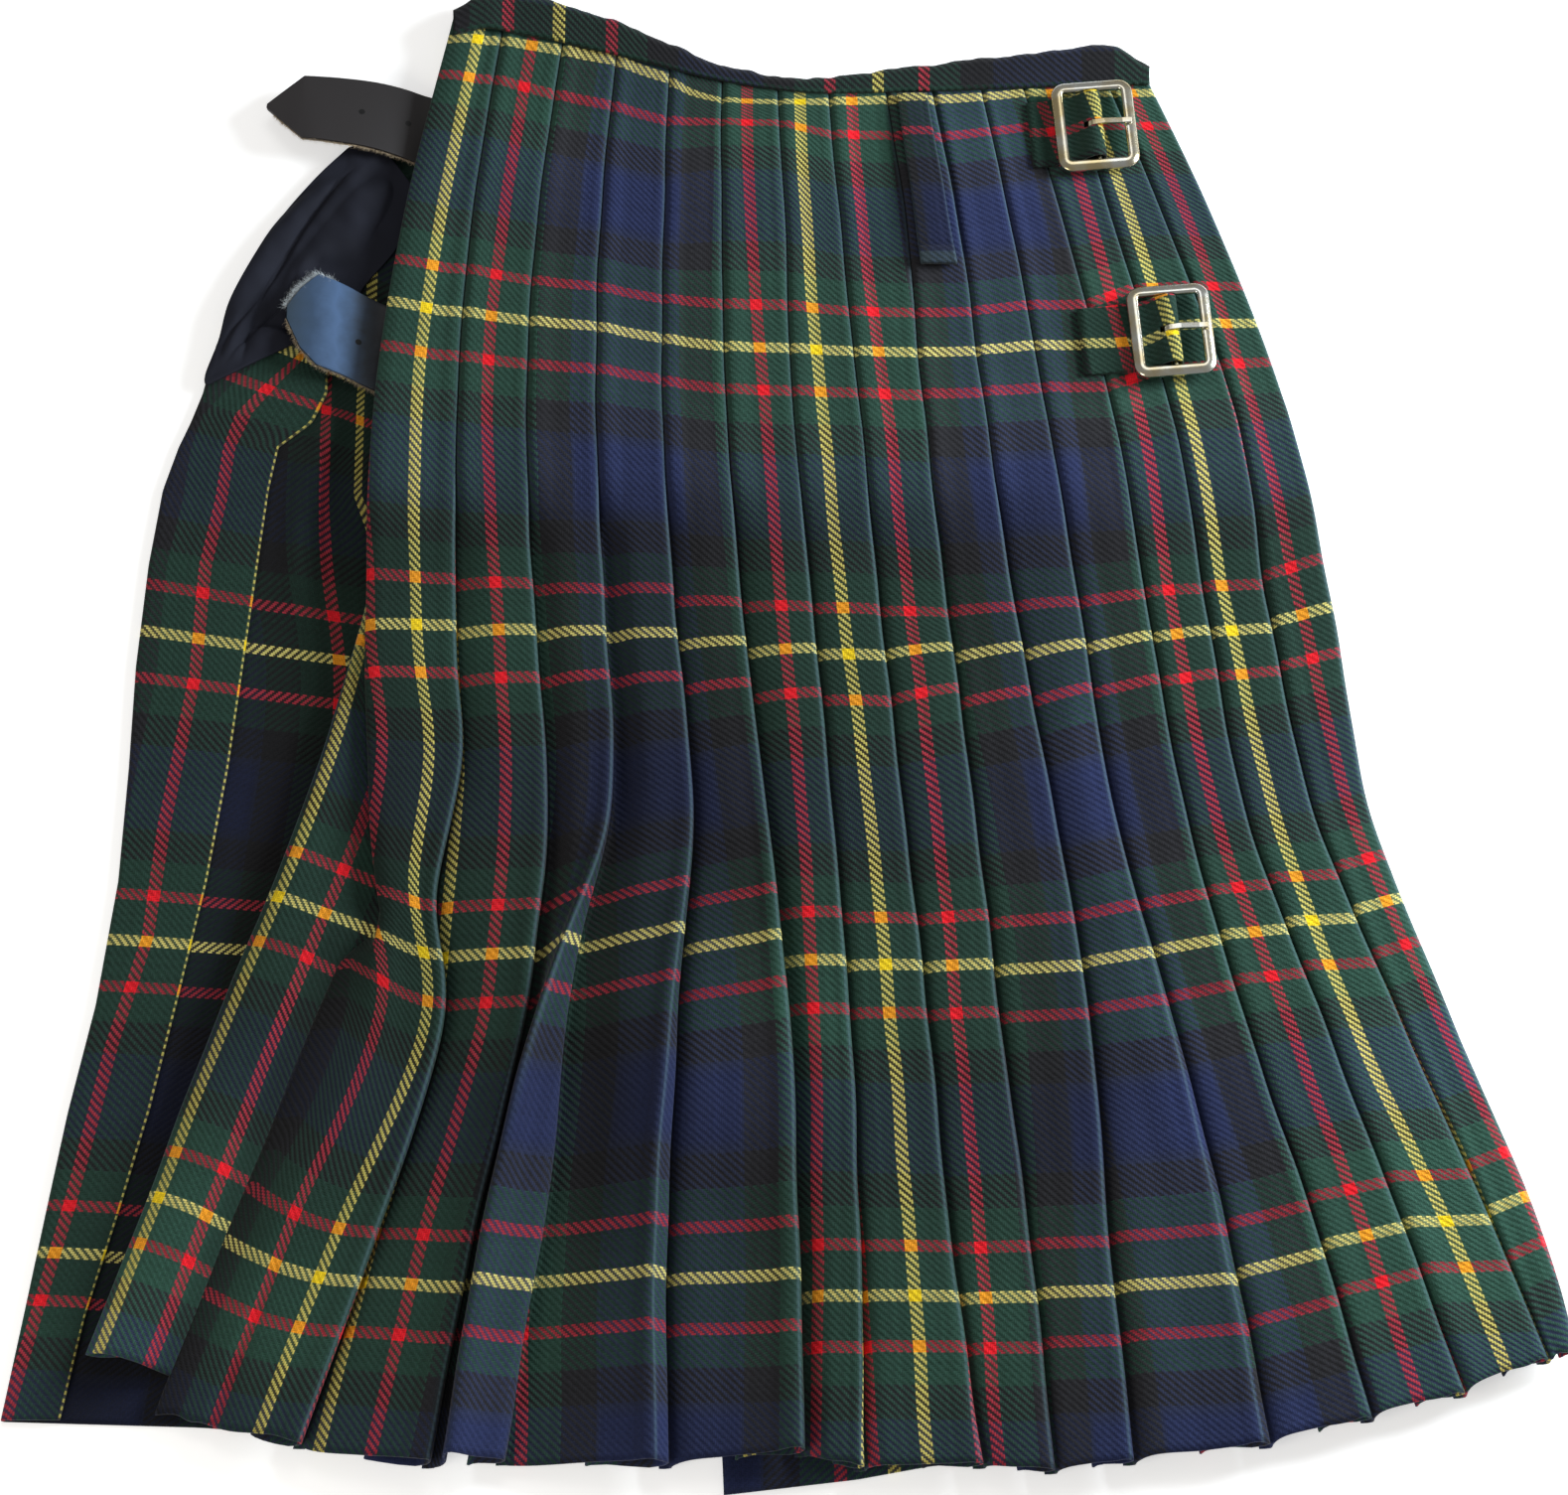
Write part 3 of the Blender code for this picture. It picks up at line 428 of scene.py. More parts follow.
class Finish:
    """Short hands for the nodes of one material."""

    def __init__(self, name, roughness, metallic=0.0):
        self.material = bpy.data.materials.new(name)
        self.material.use_nodes = True
        self.tree = self.material.node_tree
        self.shader = self.tree.nodes["Principled BSDF"]
        self.set("Roughness", roughness)
        self.set("Metallic", metallic)

    def set(self, socket, value):
        self.wire(self.shader.inputs[socket], value)

    def node(self, kind, **settings):
        made = self.tree.nodes.new(kind)
        for key, value in settings.items():
            setattr(made, key, value)
        return made

    def wire(self, socket, value):
        """Links a socket, or sets its value; a colour is given without its alpha."""
        if isinstance(value, bpy.types.NodeSocket):
            self.tree.links.new(value, socket)
        else:
            socket.default_value = (*value, 1.0) if socket.type == "RGBA" else value

    def wired(self, made, *values):
        """Wires a node's first sockets in turn, and returns its first output."""
        for socket, value in zip(made.inputs, values):
            self.wire(socket, value)
        return made.outputs[0]

    def named(self, made, values):
        """Wires a node's sockets by name, and returns its first output."""
        for socket, value in values.items():
            self.wire(made.inputs[socket], value)
        return made.outputs[0]

    def work(self, operation, a, b=0.0):
        return self.wired(self.node("ShaderNodeMath", operation=operation), a, b)

    def plus(self, a, b):
        return self.work("ADD", a, b)

    def minus(self, a, b):
        return self.work("SUBTRACT", a, b)

    def times(self, a, b):
        return self.work("MULTIPLY", a, b)

    def pick(self, share, pair):
        """The pair's first number where the share is 0, and its second where it is 1."""
        return self.plus(self.times(self.minus(1.0, share), pair[0]), self.times(share, pair[1]))

    def mix(self, share, a, b):
        """Colour a where the share is 0, and colour b where it is 1."""
        made = self.node("ShaderNodeMix", data_type="RGBA")
        for socket, value in zip((made.inputs[0], made.inputs[6], made.inputs[7]), (share, a, b)):
            self.wire(socket, value)
        return made.outputs[2]

    def ramp(self, value, stops, kind="LINEAR"):
        made = self.node("ShaderNodeValToRGB")
        made.color_ramp.interpolation = kind
        while len(made.color_ramp.elements) < len(stops):
            made.color_ramp.elements.new(1.0)
        for element, (place, colour) in zip(made.color_ramp.elements, stops):
            element.position = place
            element.color = (*colour, 1.0)
        return self.wired(made, value)

    def noise(self, place, scale, detail=2.0, roughness=0.5):
        values = {"Vector": place, "Scale": scale, "Detail": detail, "Roughness": roughness}
        return self.named(self.node("ShaderNodeTexNoise"), values)

    def place(self):
        return self.node("ShaderNodeTexCoord").outputs["Object"]

    def mark(self, name):
        return self.node("ShaderNodeAttribute", attribute_name=name).outputs["Fac"]

    def axes(self, vector):
        made = self.node("ShaderNodeSeparateXYZ")
        self.wired(made, vector)
        return made.outputs

    def bump(self, height, distance, strength):
        values = {"Strength": strength, "Distance": distance * MM, "Height": height}
        self.set("Normal", self.named(self.node("ShaderNodeBump"), values))


def srgb(red, green, blue):
    """A colour given as it looks on a screen, 0 to 255, as light."""
    shares = (c / 255 for c in (red, green, blue))
    return tuple(((c + 0.055) / 1.055) ** 2.4 if c > 0.04 else c / 12.92 for c in shares)


YELLOW = srgb(200, 188, 98)
YELLOW_ACROSS_LIT = srgb(224, 212, 124)  # the weft's yellow, painted paler as a highlight where it stands prouder in the light
RED = srgb(164, 46, 60)
GREEN = srgb(32, 60, 50)
BLACK = srgb(31, 31, 35)
NAVY = srgb(33, 39, 62)
BLUE_ON_BLUE = srgb(30, 38, 71)  # navy warp and weft together
WORN_AND_LIT_EDGE = srgb(96, 124, 134)  # the rubbed edge of a fold, painted paler also as a highlight where it catches the light
# A line's own crossings, where no dark thread's fuzz lies over it, are its brightest places.
YELLOW_CROSSED = srgb(250, 214, 30)
RED_CROSSED = srgb(236, 26, 40)
# Half a repeat in threads, from the middle of the yellow line to the middle of the blue: 3 yellow,
# 19 green, 6 red, 16 green, 17 black, 23 blue.
SETT = ((0, YELLOW), (3, GREEN), (22, RED), (28, GREEN), (44, BLACK), (61, NAVY))
LINE_BANDS = ((0, 1), (3, 0), (22, 1), (28, 0))
CROSSED_BANDS = ((0, YELLOW_CROSSED), (12, RED_CROSSED))
NAVY_SPREADS = (0.03, 0.09)  # how slowly the blue deepens, for warp and weft
LINE_LIGHT = 0.85  # the pale lines hardly follow the painted light and shade
LINE_HOLD = 0.8
THREAD_BLEED = 0.16  # how much of the hidden thread's colour shows between
THREAD_ROUND = 3.0  # how much painted shade darkens a thread toward its sides
THREAD_SHADE = 0.52  # how bright it is there, and what its middle adds
THREAD_LIGHT = 0.54
TONE = 0.3  # how far threads, patches and specks differ in brightness
CLOUD = 0.3
FLECK = 0.4
EDGE_WEAR_AND_HIGHLIGHT = 0.28


def half_sett(bands):
    """Stops of a ramp over half a repeat from bands that start at a thread."""
    return [(thread / HALF_SETT, colour) for thread, colour in bands]


def make_tartan():
    """A 2/2 twill: at each thread crossing the warp shows where (across + along) modulo 4 is under 2,
    and the weft elsewhere; both take their colour from the same half repeat, mirrored to and fro."""
    made = Finish("tartan_twill", 0.9)
    count = made.axes(made.node("ShaderNodeUVMap", uv_map="count").outputs[0])
    stops = half_sett(SETT)
    navy_from = stops[-1][0]
    line_stops = half_sett((thread, (on,) * 3) for thread, on in LINE_BANDS)
    colours, threads, humps, tones, navies, lines, crossed = ([] for _ in range(7))
    for axis, yellow in enumerate((YELLOW, YELLOW_ACROSS_LIT)):
        scaled = made.times(count[axis], THREADS)
        thread = made.work("FLOOR", scaled)
        middle = made.work("DIVIDE", made.plus(thread, 0.5), THREADS)
        half = made.times(made.work("PINGPONG", middle, 0.5), 2.0)
        colours.append(made.ramp(half, [(0, yellow)] + stops[1:], "CONSTANT"))
        threads.append(thread)
        lines.append(made.ramp(half, line_stops, "CONSTANT"))
        crossed.append(made.ramp(half, half_sett(CROSSED_BANDS), "CONSTANT"))
        deepens = ((navy_from, (0, 0, 0)), (navy_from + NAVY_SPREADS[axis], (1, 1, 1)))
        navies.append(made.ramp(half, deepens))
        across = made.minus(made.work("FRACT", scaled), 0.5)
        humps.append(made.minus(1.0, made.times(made.times(across, across), THREAD_ROUND)))
        tones.append(made.named(made.node("ShaderNodeTexWhiteNoise", noise_dimensions="1D"), {"W": thread}))
    weft_up = made.work("GREATER_THAN", made.work("FLOORED_MODULO", made.plus(*threads), 4.0), 1.5)
    woven = made.mix(THREAD_BLEED, made.mix(weft_up, *colours), made.mix(0.5, *colours))
    woven = made.mix(made.times(*navies), woven, BLUE_ON_BLUE)
    both = made.times(*lines)
    woven = made.mix(both, woven, made.mix(0.5, *crossed))
    on_line = made.work("MAXIMUM", both, made.mix(weft_up, *lines))
    tone = made.pick(weft_up, tones)
    top = made.pick(weft_up, humps)
    place = made.place()
    cloud = made.noise(place, 28.0, 3.0)
    fleck = made.noise(place, 900.0, 2.0)
    patches = made.plus(made.times(cloud, CLOUD), made.times(fleck, FLECK))
    uneven = made.plus(0.5, made.plus(made.times(tone, TONE), patches))
    # painted shade between threads: each thread is brightest at its middle
    bright = made.times(uneven, made.plus(THREAD_SHADE, made.times(top, THREAD_LIGHT)))
    # painted light and shade: the mark scales the colour brighter or darker, and the pale lines keep most of
    # their brightness
    painted_light_here = made.mark("painted_light")
    held = made.times(LINE_HOLD, made.minus(LINE_LIGHT, painted_light_here))
    light = made.plus(painted_light_here, made.times(on_line, held))
    shading = made.node("ShaderNodeVectorMath", operation="SCALE")
    shaded = made.named(shading, {"Vector": woven, "Scale": made.times(bright, light)})
    # wear and painted highlight: the rubbed fold edges are mixed toward a pale colour
    made.set("Base Color", made.mix(made.times(made.mark("edge"), EDGE_WEAR_AND_HIGHLIGHT), shaded, WORN_AND_LIT_EDGE))
    made.set("Sheen Weight", 0.06)
    made.set("Sheen Roughness", 0.55)
    made.set("Specular IOR Level", 0.15)
    wales = made.times(made.plus(count[0], count[1]), THREADS / 4)
    ridge = made.work("SINE", made.times(wales, 2 * math.pi))
    height = made.plus(made.times(top, 0.5), made.times(ridge, 0.5))
    made.bump(made.plus(height, made.times(fleck, 0.8)), 0.2, 0.9)
    return made.material


def make_plain(name, colour, roughness, cloud=0.2, grain=700.0, depth=0.1):
    """A plain cloth or leather: a noise cloud over its colour and a fine grain in its bump."""
    made = Finish(name, roughness)
    place = made.place()
    dark, light = (tuple(c * share for c in colour) for share in (1 - cloud, 1 + cloud))
    made.set("Base Color", made.ramp(made.noise(place, 45.0, 4.0), ((0.3, dark), (0.7, light))))
    made.set("Specular IOR Level", 0.2)
    made.bump(made.noise(place, grain, 3.0, 0.6), depth, 0.8)
    return made.material


def make_leather(name, shades, roughness, holes):
    """Leather whose colour runs through shades along x, in millimetres, with painted shade and a dip at each
    hole, which isn't cut.
    """
    made = Finish(name, roughness)
    place = made.place()
    x, y, _ = made.axes(place)
    first, last = shades[0][0], shades[-1][0]
    cloud = made.noise(place, 140.0, 4.0, 0.6)
    wavy = made.plus(x, made.times(made.minus(cloud, 0.5), 8 * MM))
    ends = ((at - MIDDLE[0]) * MM for at in (first, last))
    along_x = made.wired(made.node("ShaderNodeMapRange"), wavy, *ends)
    shade = made.ramp(along_x, [((at - first) / (last - first), colour) for at, colour in shades])
    height = made.times(made.noise(place, 900.0, 3.0, 0.6), 0.2)
    flat = made.wired(made.node("ShaderNodeCombineXYZ"), x, y)
    for hole in holes:
        apart = made.node("ShaderNodeVectorMath", operation="DISTANCE")
        made.wired(apart, flat, tuple((np.array((*hole, 0)) - MIDDLE) * MM))
        inside = made.work("LESS_THAN", apart.outputs["Value"], HOLE_RADIUS * MM)
        # painted shade: each hole is painted near black rather than cut
        shade = made.mix(inside, shade, srgb(9, 9, 10))
        height = made.minus(height, inside)
    made.set("Base Color", shade)
    made.set("Specular IOR Level", 0.3)
    made.bump(height, 0.12, 0.8)
    return made.material


def make_metal():
    """Bright metal with faint rubbed scratches and a warm tarnish that a slow noise spreads."""
    made = Finish("buckle_nickel", 0.22, 1.0)
    place = made.place()
    tarnish = made.noise(place, 90.0, 3.0)
    made.set("Base Color", made.ramp(tarnish, ((0.4, srgb(214, 216, 210)), (0.66, srgb(200, 184, 142)))))
    rub = made.noise(place, 300.0, 2.0)
    made.set("Roughness", made.plus(0.15, made.times(rub, 0.12)))
    made.bump(rub, 0.01, 0.3)
    return made.material


BROWN_SHADES = ((-193, srgb(47, 44, 45)), (-135, srgb(40, 38, 39)))
# painted reflection: the lower strap's shades brighten to blue along x, standing in for the sheen of its
# curved face
PAINTED_SHEEN_SHADES = ((-181, srgb(36, 54, 68)), (-172, srgb(46, 68, 94)), (-163, srgb(74, 101, 138)),
               (-158, srgb(58, 79, 106)), (-152, srgb(42, 50, 60)), (-147, srgb(28, 30, 36)))
TARTAN = make_tartan()
LINING_COTTON = make_plain("lining_cotton_navy", srgb(26, 28, 38), 0.85, 0.25, 1200.0, 0.05)
BROWN_LEATHER = make_leather("strap_leather_brown_black", BROWN_SHADES, 0.55, ((-156, 242), (-139, 239)))
PAINTED_SHEEN_LEATHER = make_leather("strap_leather_dark_painted_sheen", PAINTED_SHEEN_SHADES, 0.4, ((-155, 148),))
RAW_EDGE = make_plain("leather_raw_edge", srgb(176, 160, 136), 0.9, 0.3)
FRAYED_EDGE = make_plain("leather_frayed_edge", srgb(196, 204, 208), 0.9, 0.35)
WOOL_FUZZ = make_plain("wool_fuzz", srgb(52, 62, 70), 0.9, 0.4)
METAL = make_metal()

# ---- the pleated back


def fold_x(k, y):
    """Where fold k lies at y. The first pleat's right fold bends sideways twice below the fell."""
    bend = 3.5 * bell(y + 12, 26) - 5 * bell(y + 76, 24)
    return along(FOLDS[k].x, y) + (bend if k == 1 else 0)


def opening(k, y):
    """How far fold k hangs open at y, past where it would lie pressed."""
    return FOLDS[k].opens * ease(*FOLD_OPENS, y)


def standing(k, y):
    """How far fold k stands up at y, over the height of a flat pleat."""
    return FOLDS[k].stands * ease(*FOLD_STANDS, y)


def layer(y):
    """From the middle of one pleat layer to the middle of the next at y."""
    return smooth((-280, FELL, 240, 290), (LAYER_AT_HEM, LAYER_AT_FELL, LAYER_AT_WAIST, LAYER_AT_WAIST), y)


# Spots of painted light and shade, where the cloth is painted brighter or darker: x, y, how wide and high,
# and how much.
PAINTED_LIGHT_SPOTS = (
    (-52, -50, 14, 100, -0.2), (-63, -160, 12, 60, -0.35), (-178, -228, 24, 28, 0.4),
    (262, -130, 18, 50, 0.6), (-2, -122, 34, 40, 0.75), (96, -150, 22, 40, -0.22),
    (150, -118, 34, 42, 0.3), (232, -140, 38, 80, 0.75), (-40, -240, 60, 30, 0.1),
    (115, 245, 30, 24, 0.3), (40, 230, 50, 26, 0.35), (-86, 228, 24, 26, 0.35),
    (-105, 28, 26, 22, 0.35), (58, -235, 20, 26, 0.3), (-170, 235, 30, 60, -0.4),
    (110, 40, 30, 50, 0.15), (94, 230, 26, 22, 0.35), (-150, -60, 14, 50, -0.2),
)
PAINTED_LIGHT_RANGE = (0.3, 1.8)
# How bright the cloth is painted where it isn't the face of a pleat: painted light and shade, as on the
# faces.
WRONG_SIDE_PAINTED_LIGHT = 0.45
TURNED_STRIP_PAINTED_LIGHT = 0.85
BAND_PAINTED_LIGHT = 0.7
TAB_PAINTED_LIGHT = 0.75
LOOP_PAINTED_LIGHT = 0.72
EDGE_WIDTH = 0.5  # how wide a fold's rubbed edge with its painted highlight is
EDGE_PAST_CREST = 0.7  # and how far past the crest it lies
LIT_FOLD = FOLDS[10]  # a painted highlight lies as a band left of its edge
# For each knot of a pleat, how far its ends lie from the left fold's ends to the right one's.
PLEAT_END_SHARE = (0.0, 0.02, 0.05, 0.1, 0.6, 0.8, 1.0, 1.0, 1.0, 1.0, 0.7, 0.6)
PLEAT_STEPS = (2, 3, 4, 9, 7, 7, 4, 4, 5, 4, 3)
PLEAT_ROWS = 200
CREST = 6  # the knot of a pleat that lies on its fold
# The first pleat begins with knots of its own, over or beside the flare.
FIRST_END_SHARE = (-0.09, -0.05, 0.18, 0.23, 0.28, 0.5) + PLEAT_END_SHARE[5:]
FIRST_STEPS = (5, 6, 6, 5, 7, 7) + PLEAT_STEPS[5:]
FLARE_STEPS = (5, 4, 6, 9, 9, 6)
FLARE_FOLD_KNOT = 2


def pleat_section(k, y):
    """The twelve knots of pleat k at y, from its hidden start to the inner fold of its tuck: x and z of
    each. Its knife is 1 where its fold lies pressed, and smaller the further the fold hangs open."""
    step = layer(y)
    turn = step / 2
    low = LOW + 0 * y
    top = low + 2 * step
    begins = fold_x(k - 1, y) + opening(k - 1, y)
    edge = fold_x(k, y)
    shows = edge - begins
    opens = opening(k, y)
    stands = standing(k, y)
    knife = 3 / (3 + opens)
    tuck = np.maximum(TUCK_SHARE * (shows + opens), LEAST_TUCK)
    inner = edge + opens - tuck
    shoulder = between(begins + 0.7 * shows, inner - 1.5, knife)
    crown = between(begins + 0.9 * shows, edge - 0.45 * tuck, knife)
    sewn = ease(*FELL_RUN, y)
    lies = between(low, top, between(FREE_START[k - 1], SEWN_START, sewn))
    crest_x = edge - turn * knife * (1 - 0.4 * sewn)
    tip_height = between(low + step + turn, top + stands - turn, knife)
    round_by = 0.2 * turn * knife
    return (
        # under the fold before it, and up beside that fold
        (begins - 3.0, low),
        (begins + 0.7, low + 0.3),
        (begins + 1.25 - 0.2 * sewn, between(low, lies, 0.75)),
        (begins + 2.0 - 0.45 * sewn, lies),
        # over its face to the crest of its own fold
        (shoulder, top + 0.1 * stands),
        (crown, top + PLEAT_CROWN * (1 - 0.7 * sewn) + 0.45 * stands),
        (crest_x, top + stands),
        # round the fold and back under the face
        (between(crest_x, edge + opens, 0.5) + round_by, between(top + stands, tip_height, 0.5) + round_by),
        (edge + opens, tip_height),
        (edge + opens - turn, low + step + 0.3 * stands * knife),
        (inner + turn, low + step),
        (inner, low + turn),
    )


def crest_rise(y):
    """How far the crest beside the flare stands above the lowest layer: less toward the hem."""
    return CREST_RISE * (1 - 0.6 * ease(-170, -255, y))


def flare_section(y):
    """The ten knots left of the first pleat at y: the flared fold, its valley and the crest beside it."""
    step = layer(y)
    turn = step / 2
    low = LOW + 0 * y
    crest = fold_x(0, y)
    fold = along(FLARE_FOLD, y)
    valley = along(FLARE_VALLEY, y)
    shown = np.minimum(fold, crest + 1.8)
    sewn_x = crest + 7.2
    closed = (
        (crest + 7.0, low), (shown + 1.2, low), (shown, low + turn), (shown + 1.2, low + step),
        (between(shown, sewn_x, 0.5), low + step), (sewn_x, low + step), (crest + 8.0, low + 1.5 * step),
        (sewn_x, low + 2 * step), (crest + 1.0, low + 2 * step), (crest, low + 2.5 * step),
    )
    rise = crest_rise(y)
    high = low + rise
    opened = (
        (fold + 14.0, low), (fold + 1.5, low), (fold, low + turn), (fold + 1.5, low + step),
        (between(fold, valley, 0.55), low + step + 3.0), (valley - 4.0, low + 2.0), (valley, low + 0.3),
        (between(valley, crest, 0.45), low + 0.55 * rise), (crest - 4.0, high - 0.4), (crest, high),
    )
    share = ease(*FLARE_OPENS, y)
    return [(between(closed_x, open_x, share), between(closed_z, open_z, share))
            for (closed_x, closed_z), (open_x, open_z) in zip(closed, opened)]


def first_section(j, y):
    """Knot j of the first pleat at y: four that it shares with the flare, two that lead over the closed
    flare or down from the open crest, and then its own."""
    if j < 4:
        return flare_section(y)[6 + j]
    x, z = pleat_section(1, y)[j - 1]
    if j > 5:
        return x, z
    share = ease(*FLARE_OPENS, y)
    crest = fold_x(0, y)
    closed_z = LOW + 3 * layer(y)
    opened_z = LOW + crest_rise(y) - 0.3
    if j == 4:
        return crest + 2.2, between(closed_z, opened_z, share)
    return between(crest + 9.6, 0.5 * (crest + x), share), between(closed_z, 0.5 * (opened_z + z), share)


def knot_column(section, j, hem, waist):
    """Knot j of a section all the way from hem to waist."""
    y = np.linspace(hem, waist, PLEAT_ROWS)
    x, z = section(j, y)
    return stacked(x, y, z)


def count_along(cross, x_left, x_right, x, y, before=0.0, droop=1):
    """v: each cross line has its own y at the pleat's left and right edge, and v runs smoothly through
    them. It starts before the left edge by a share of the pleat, and droop makes it change sooner."""
    share = 1 - (1 - np.clip((x - x_left) / (x_right - x_left), -before, 1)) ** droop
    ends = []
    for side, edge in enumerate((x_left, x_right)):
        shared = [line(points, np.mean(edge)) for points in (SEAT_YELLOW, TOP_RED, TOP_YELLOW)]
        ends.append(smooth([own[side] for own in cross] + shared, CROSS_COUNTS, y, steady=True))
    return between(*ends, share)


def wander(rows):
    """Every layer of the back moves together: slow uneven waves, and a low swell along the fell. Both die
    away at the waistband and under the buckles."""
    x, y = rows[..., 0], rows[..., 1]
    swell = 0.35 * (1 + waver(5, 90, x, y)) + HIP_RISE * bell(y - HIP_Y, HIP_SPREAD)
    clear = ease(300, 200, y) * (1 - ease(70, 95, x) * ease(105, 130, y))
    return rows + stacked(0.25 * waver(3, 70, y, x), 0, swell) * clear[..., None]


def painted_light(x, y):
    """How bright the painted light leaves the pleats' faces: bright above the fell, in painted shade below
    it, less so to the right.
    """
    below = 1 - ease(66, 96, y)
    recovers = 0.7 * ease(0, 200, x) * ease(60, -60, y) + 0.4 * ease(-130, -250, y)
    left = 0.2 * ease(-105, -135, x) * ease(-150, -60, y)
    right = 0.25 * ease(140, 250, x) * ease(40, -60, y)
    spots = sum(strength * bell(x - at_x, wide) * bell(y - at_y, high)
                for at_x, at_y, wide, high, strength in PAINTED_LIGHT_SPOTS)
    # painted highlight: a bright band down the left of the lit fold, above the hem
    band = 0.55 * bell(x - along(LIT_FOLD.x, y) + 5.5, 5) * ease(30, -5, y) * ease(-205, -150, y)
    bright = 1.2 - (0.5 + left) * below * (1 - np.minimum(recovers, 1)) + right
    return np.clip(bright + band + spots, *PAINTED_LIGHT_RANGE)


def valley_shade(x, y):
    """Painted shade down both sides of the flare's valley."""
    return 1 - 0.5 * bell(x - along(FLARE_VALLEY, y), 10) * ease(-55, -95, y)


def add_pleat(k):
    """One knife pleat: its face from the fold before it to its own fold, round it, and half its tuck."""
    first, last = k == 1, k == len(FOLDS) - 1
    crest = CREST + first
    shares, steps = (FIRST_END_SHARE, FIRST_STEPS) if first else (PLEAT_END_SHARE, PLEAT_STEPS)
    section = first_section if first else lambda j, y: pleat_section(k, y)[j]
    left, right = FOLDS[k - 1], FOLDS[k]
    rows = knots_to_rows([knot_column(section, j, between(left.hem, right.hem, share),
                                      between(left.waist, right.waist, share))
                          for j, share in enumerate(shares)], steps)
    run = run_length(rows)
    crest_column = sum(steps[:crest])
    from_crest = run - run[:, crest_column, None]
    to_turn = from_crest[:, crest_column + steps[crest], None]
    fold_y = rows[:, crest_column, 1, None]
    marked = LINES[k - 1]
    if marked.x:
        beside = along(right.x, fold_y) - along(marked.x, fold_y)
    else:
        beside = REPEAT * along(LINE_BESIDE_FOLD, fold_y)
    last_tilts = LAST_SQUEEZE * ease(-60, -110, fold_y) * (1 - 0.8 * ease(-160, -205, fold_y))
    squeeze = 1 + FIRST_SQUEEZE * ease(85, 50, fold_y) * first + last_tilts * last
    u = marked.count + squeeze * (beside + from_crest) / REPEAT
    x, y = rows[..., 0], rows[..., 1]
    v = count_along(CROSSES[k - 1], fold_x(k - 1, y), fold_x(k, y), x, y, FIRST_BEFORE * first,
                    1 + FIRST_DROOP * first)
    rows = wander(rows)
    x, y = rows[..., 0], rows[..., 1]
    pleat_painted_light = painted_light(x, y) * valley_shade(x, y)
    # painted light on the strip past the crest, where the fold hangs open toward the lamp
    pleat_painted_light[:, crest_column + 1:] *= 1 + 0.5 * ease(0.5, 4, opening(k, fold_y))
    # the fold's edge gets its wear and painted highlight, the face its painted light and shade
    marks = {"edge": bell(from_crest - np.minimum(to_turn, EDGE_PAST_CREST), EDGE_WIDTH), "painted_light": pleat_painted_light}
    add_cloth(f"pleat_{k:02d}", rows, stacked(u, v), "pleated_back", PLEAT_WALL,
              marks)


def add_flare():
    """The fold left of the first pleat, which springs open below the fell, down to its valley."""
    half_way = between(FLARE_FOLD_HEM, FLARE_VALLEY_HEM, 0.5)
    hems = (FLARE_FOLD_HEM,) * 4 + (half_way, FLARE_SLOPE_HEM, FLARE_VALLEY_HEM)
    rows = knots_to_rows([knot_column(lambda j, y: flare_section(y)[j], j, hem, FOLDS[0].waist)
                          for j, hem in enumerate(hems)], FLARE_STEPS)
    run = run_length(rows)
    fold_column = sum(FLARE_STEPS[:FLARE_FOLD_KNOT])
    from_fold = run - run[:, fold_column, None]
    y = rows[:, fold_column, 1, None]
    u = -1 + (along(FLARE_FOLD, y) - along(FLARE_YELLOW, y) + from_fold) / REPEAT
    x, y = rows[..., 0], rows[..., 1]
    v = count_along(FLARE_CROSS, along(FLARE_FOLD, y), along(FLARE_VALLEY, y) + FLARE_LINES_PAST, x, y)
    rows = wander(rows)
    x, y = rows[..., 0], rows[..., 1]
    # painted light growing toward the hem, and painted shade by the valley
    shade = (0.75 + ease(-120, -225, y)) * valley_shade(x, y)
    # the flare's fold edge gets the wear and painted highlight of a rubbed edge
    add_cloth("pleat_flare", rows, stacked(u, v), "pleated_back", CLOTH,
              {"edge": bell(from_fold, EDGE_WIDTH), "painted_light": shade})


# ---- waistband, aprons, lining


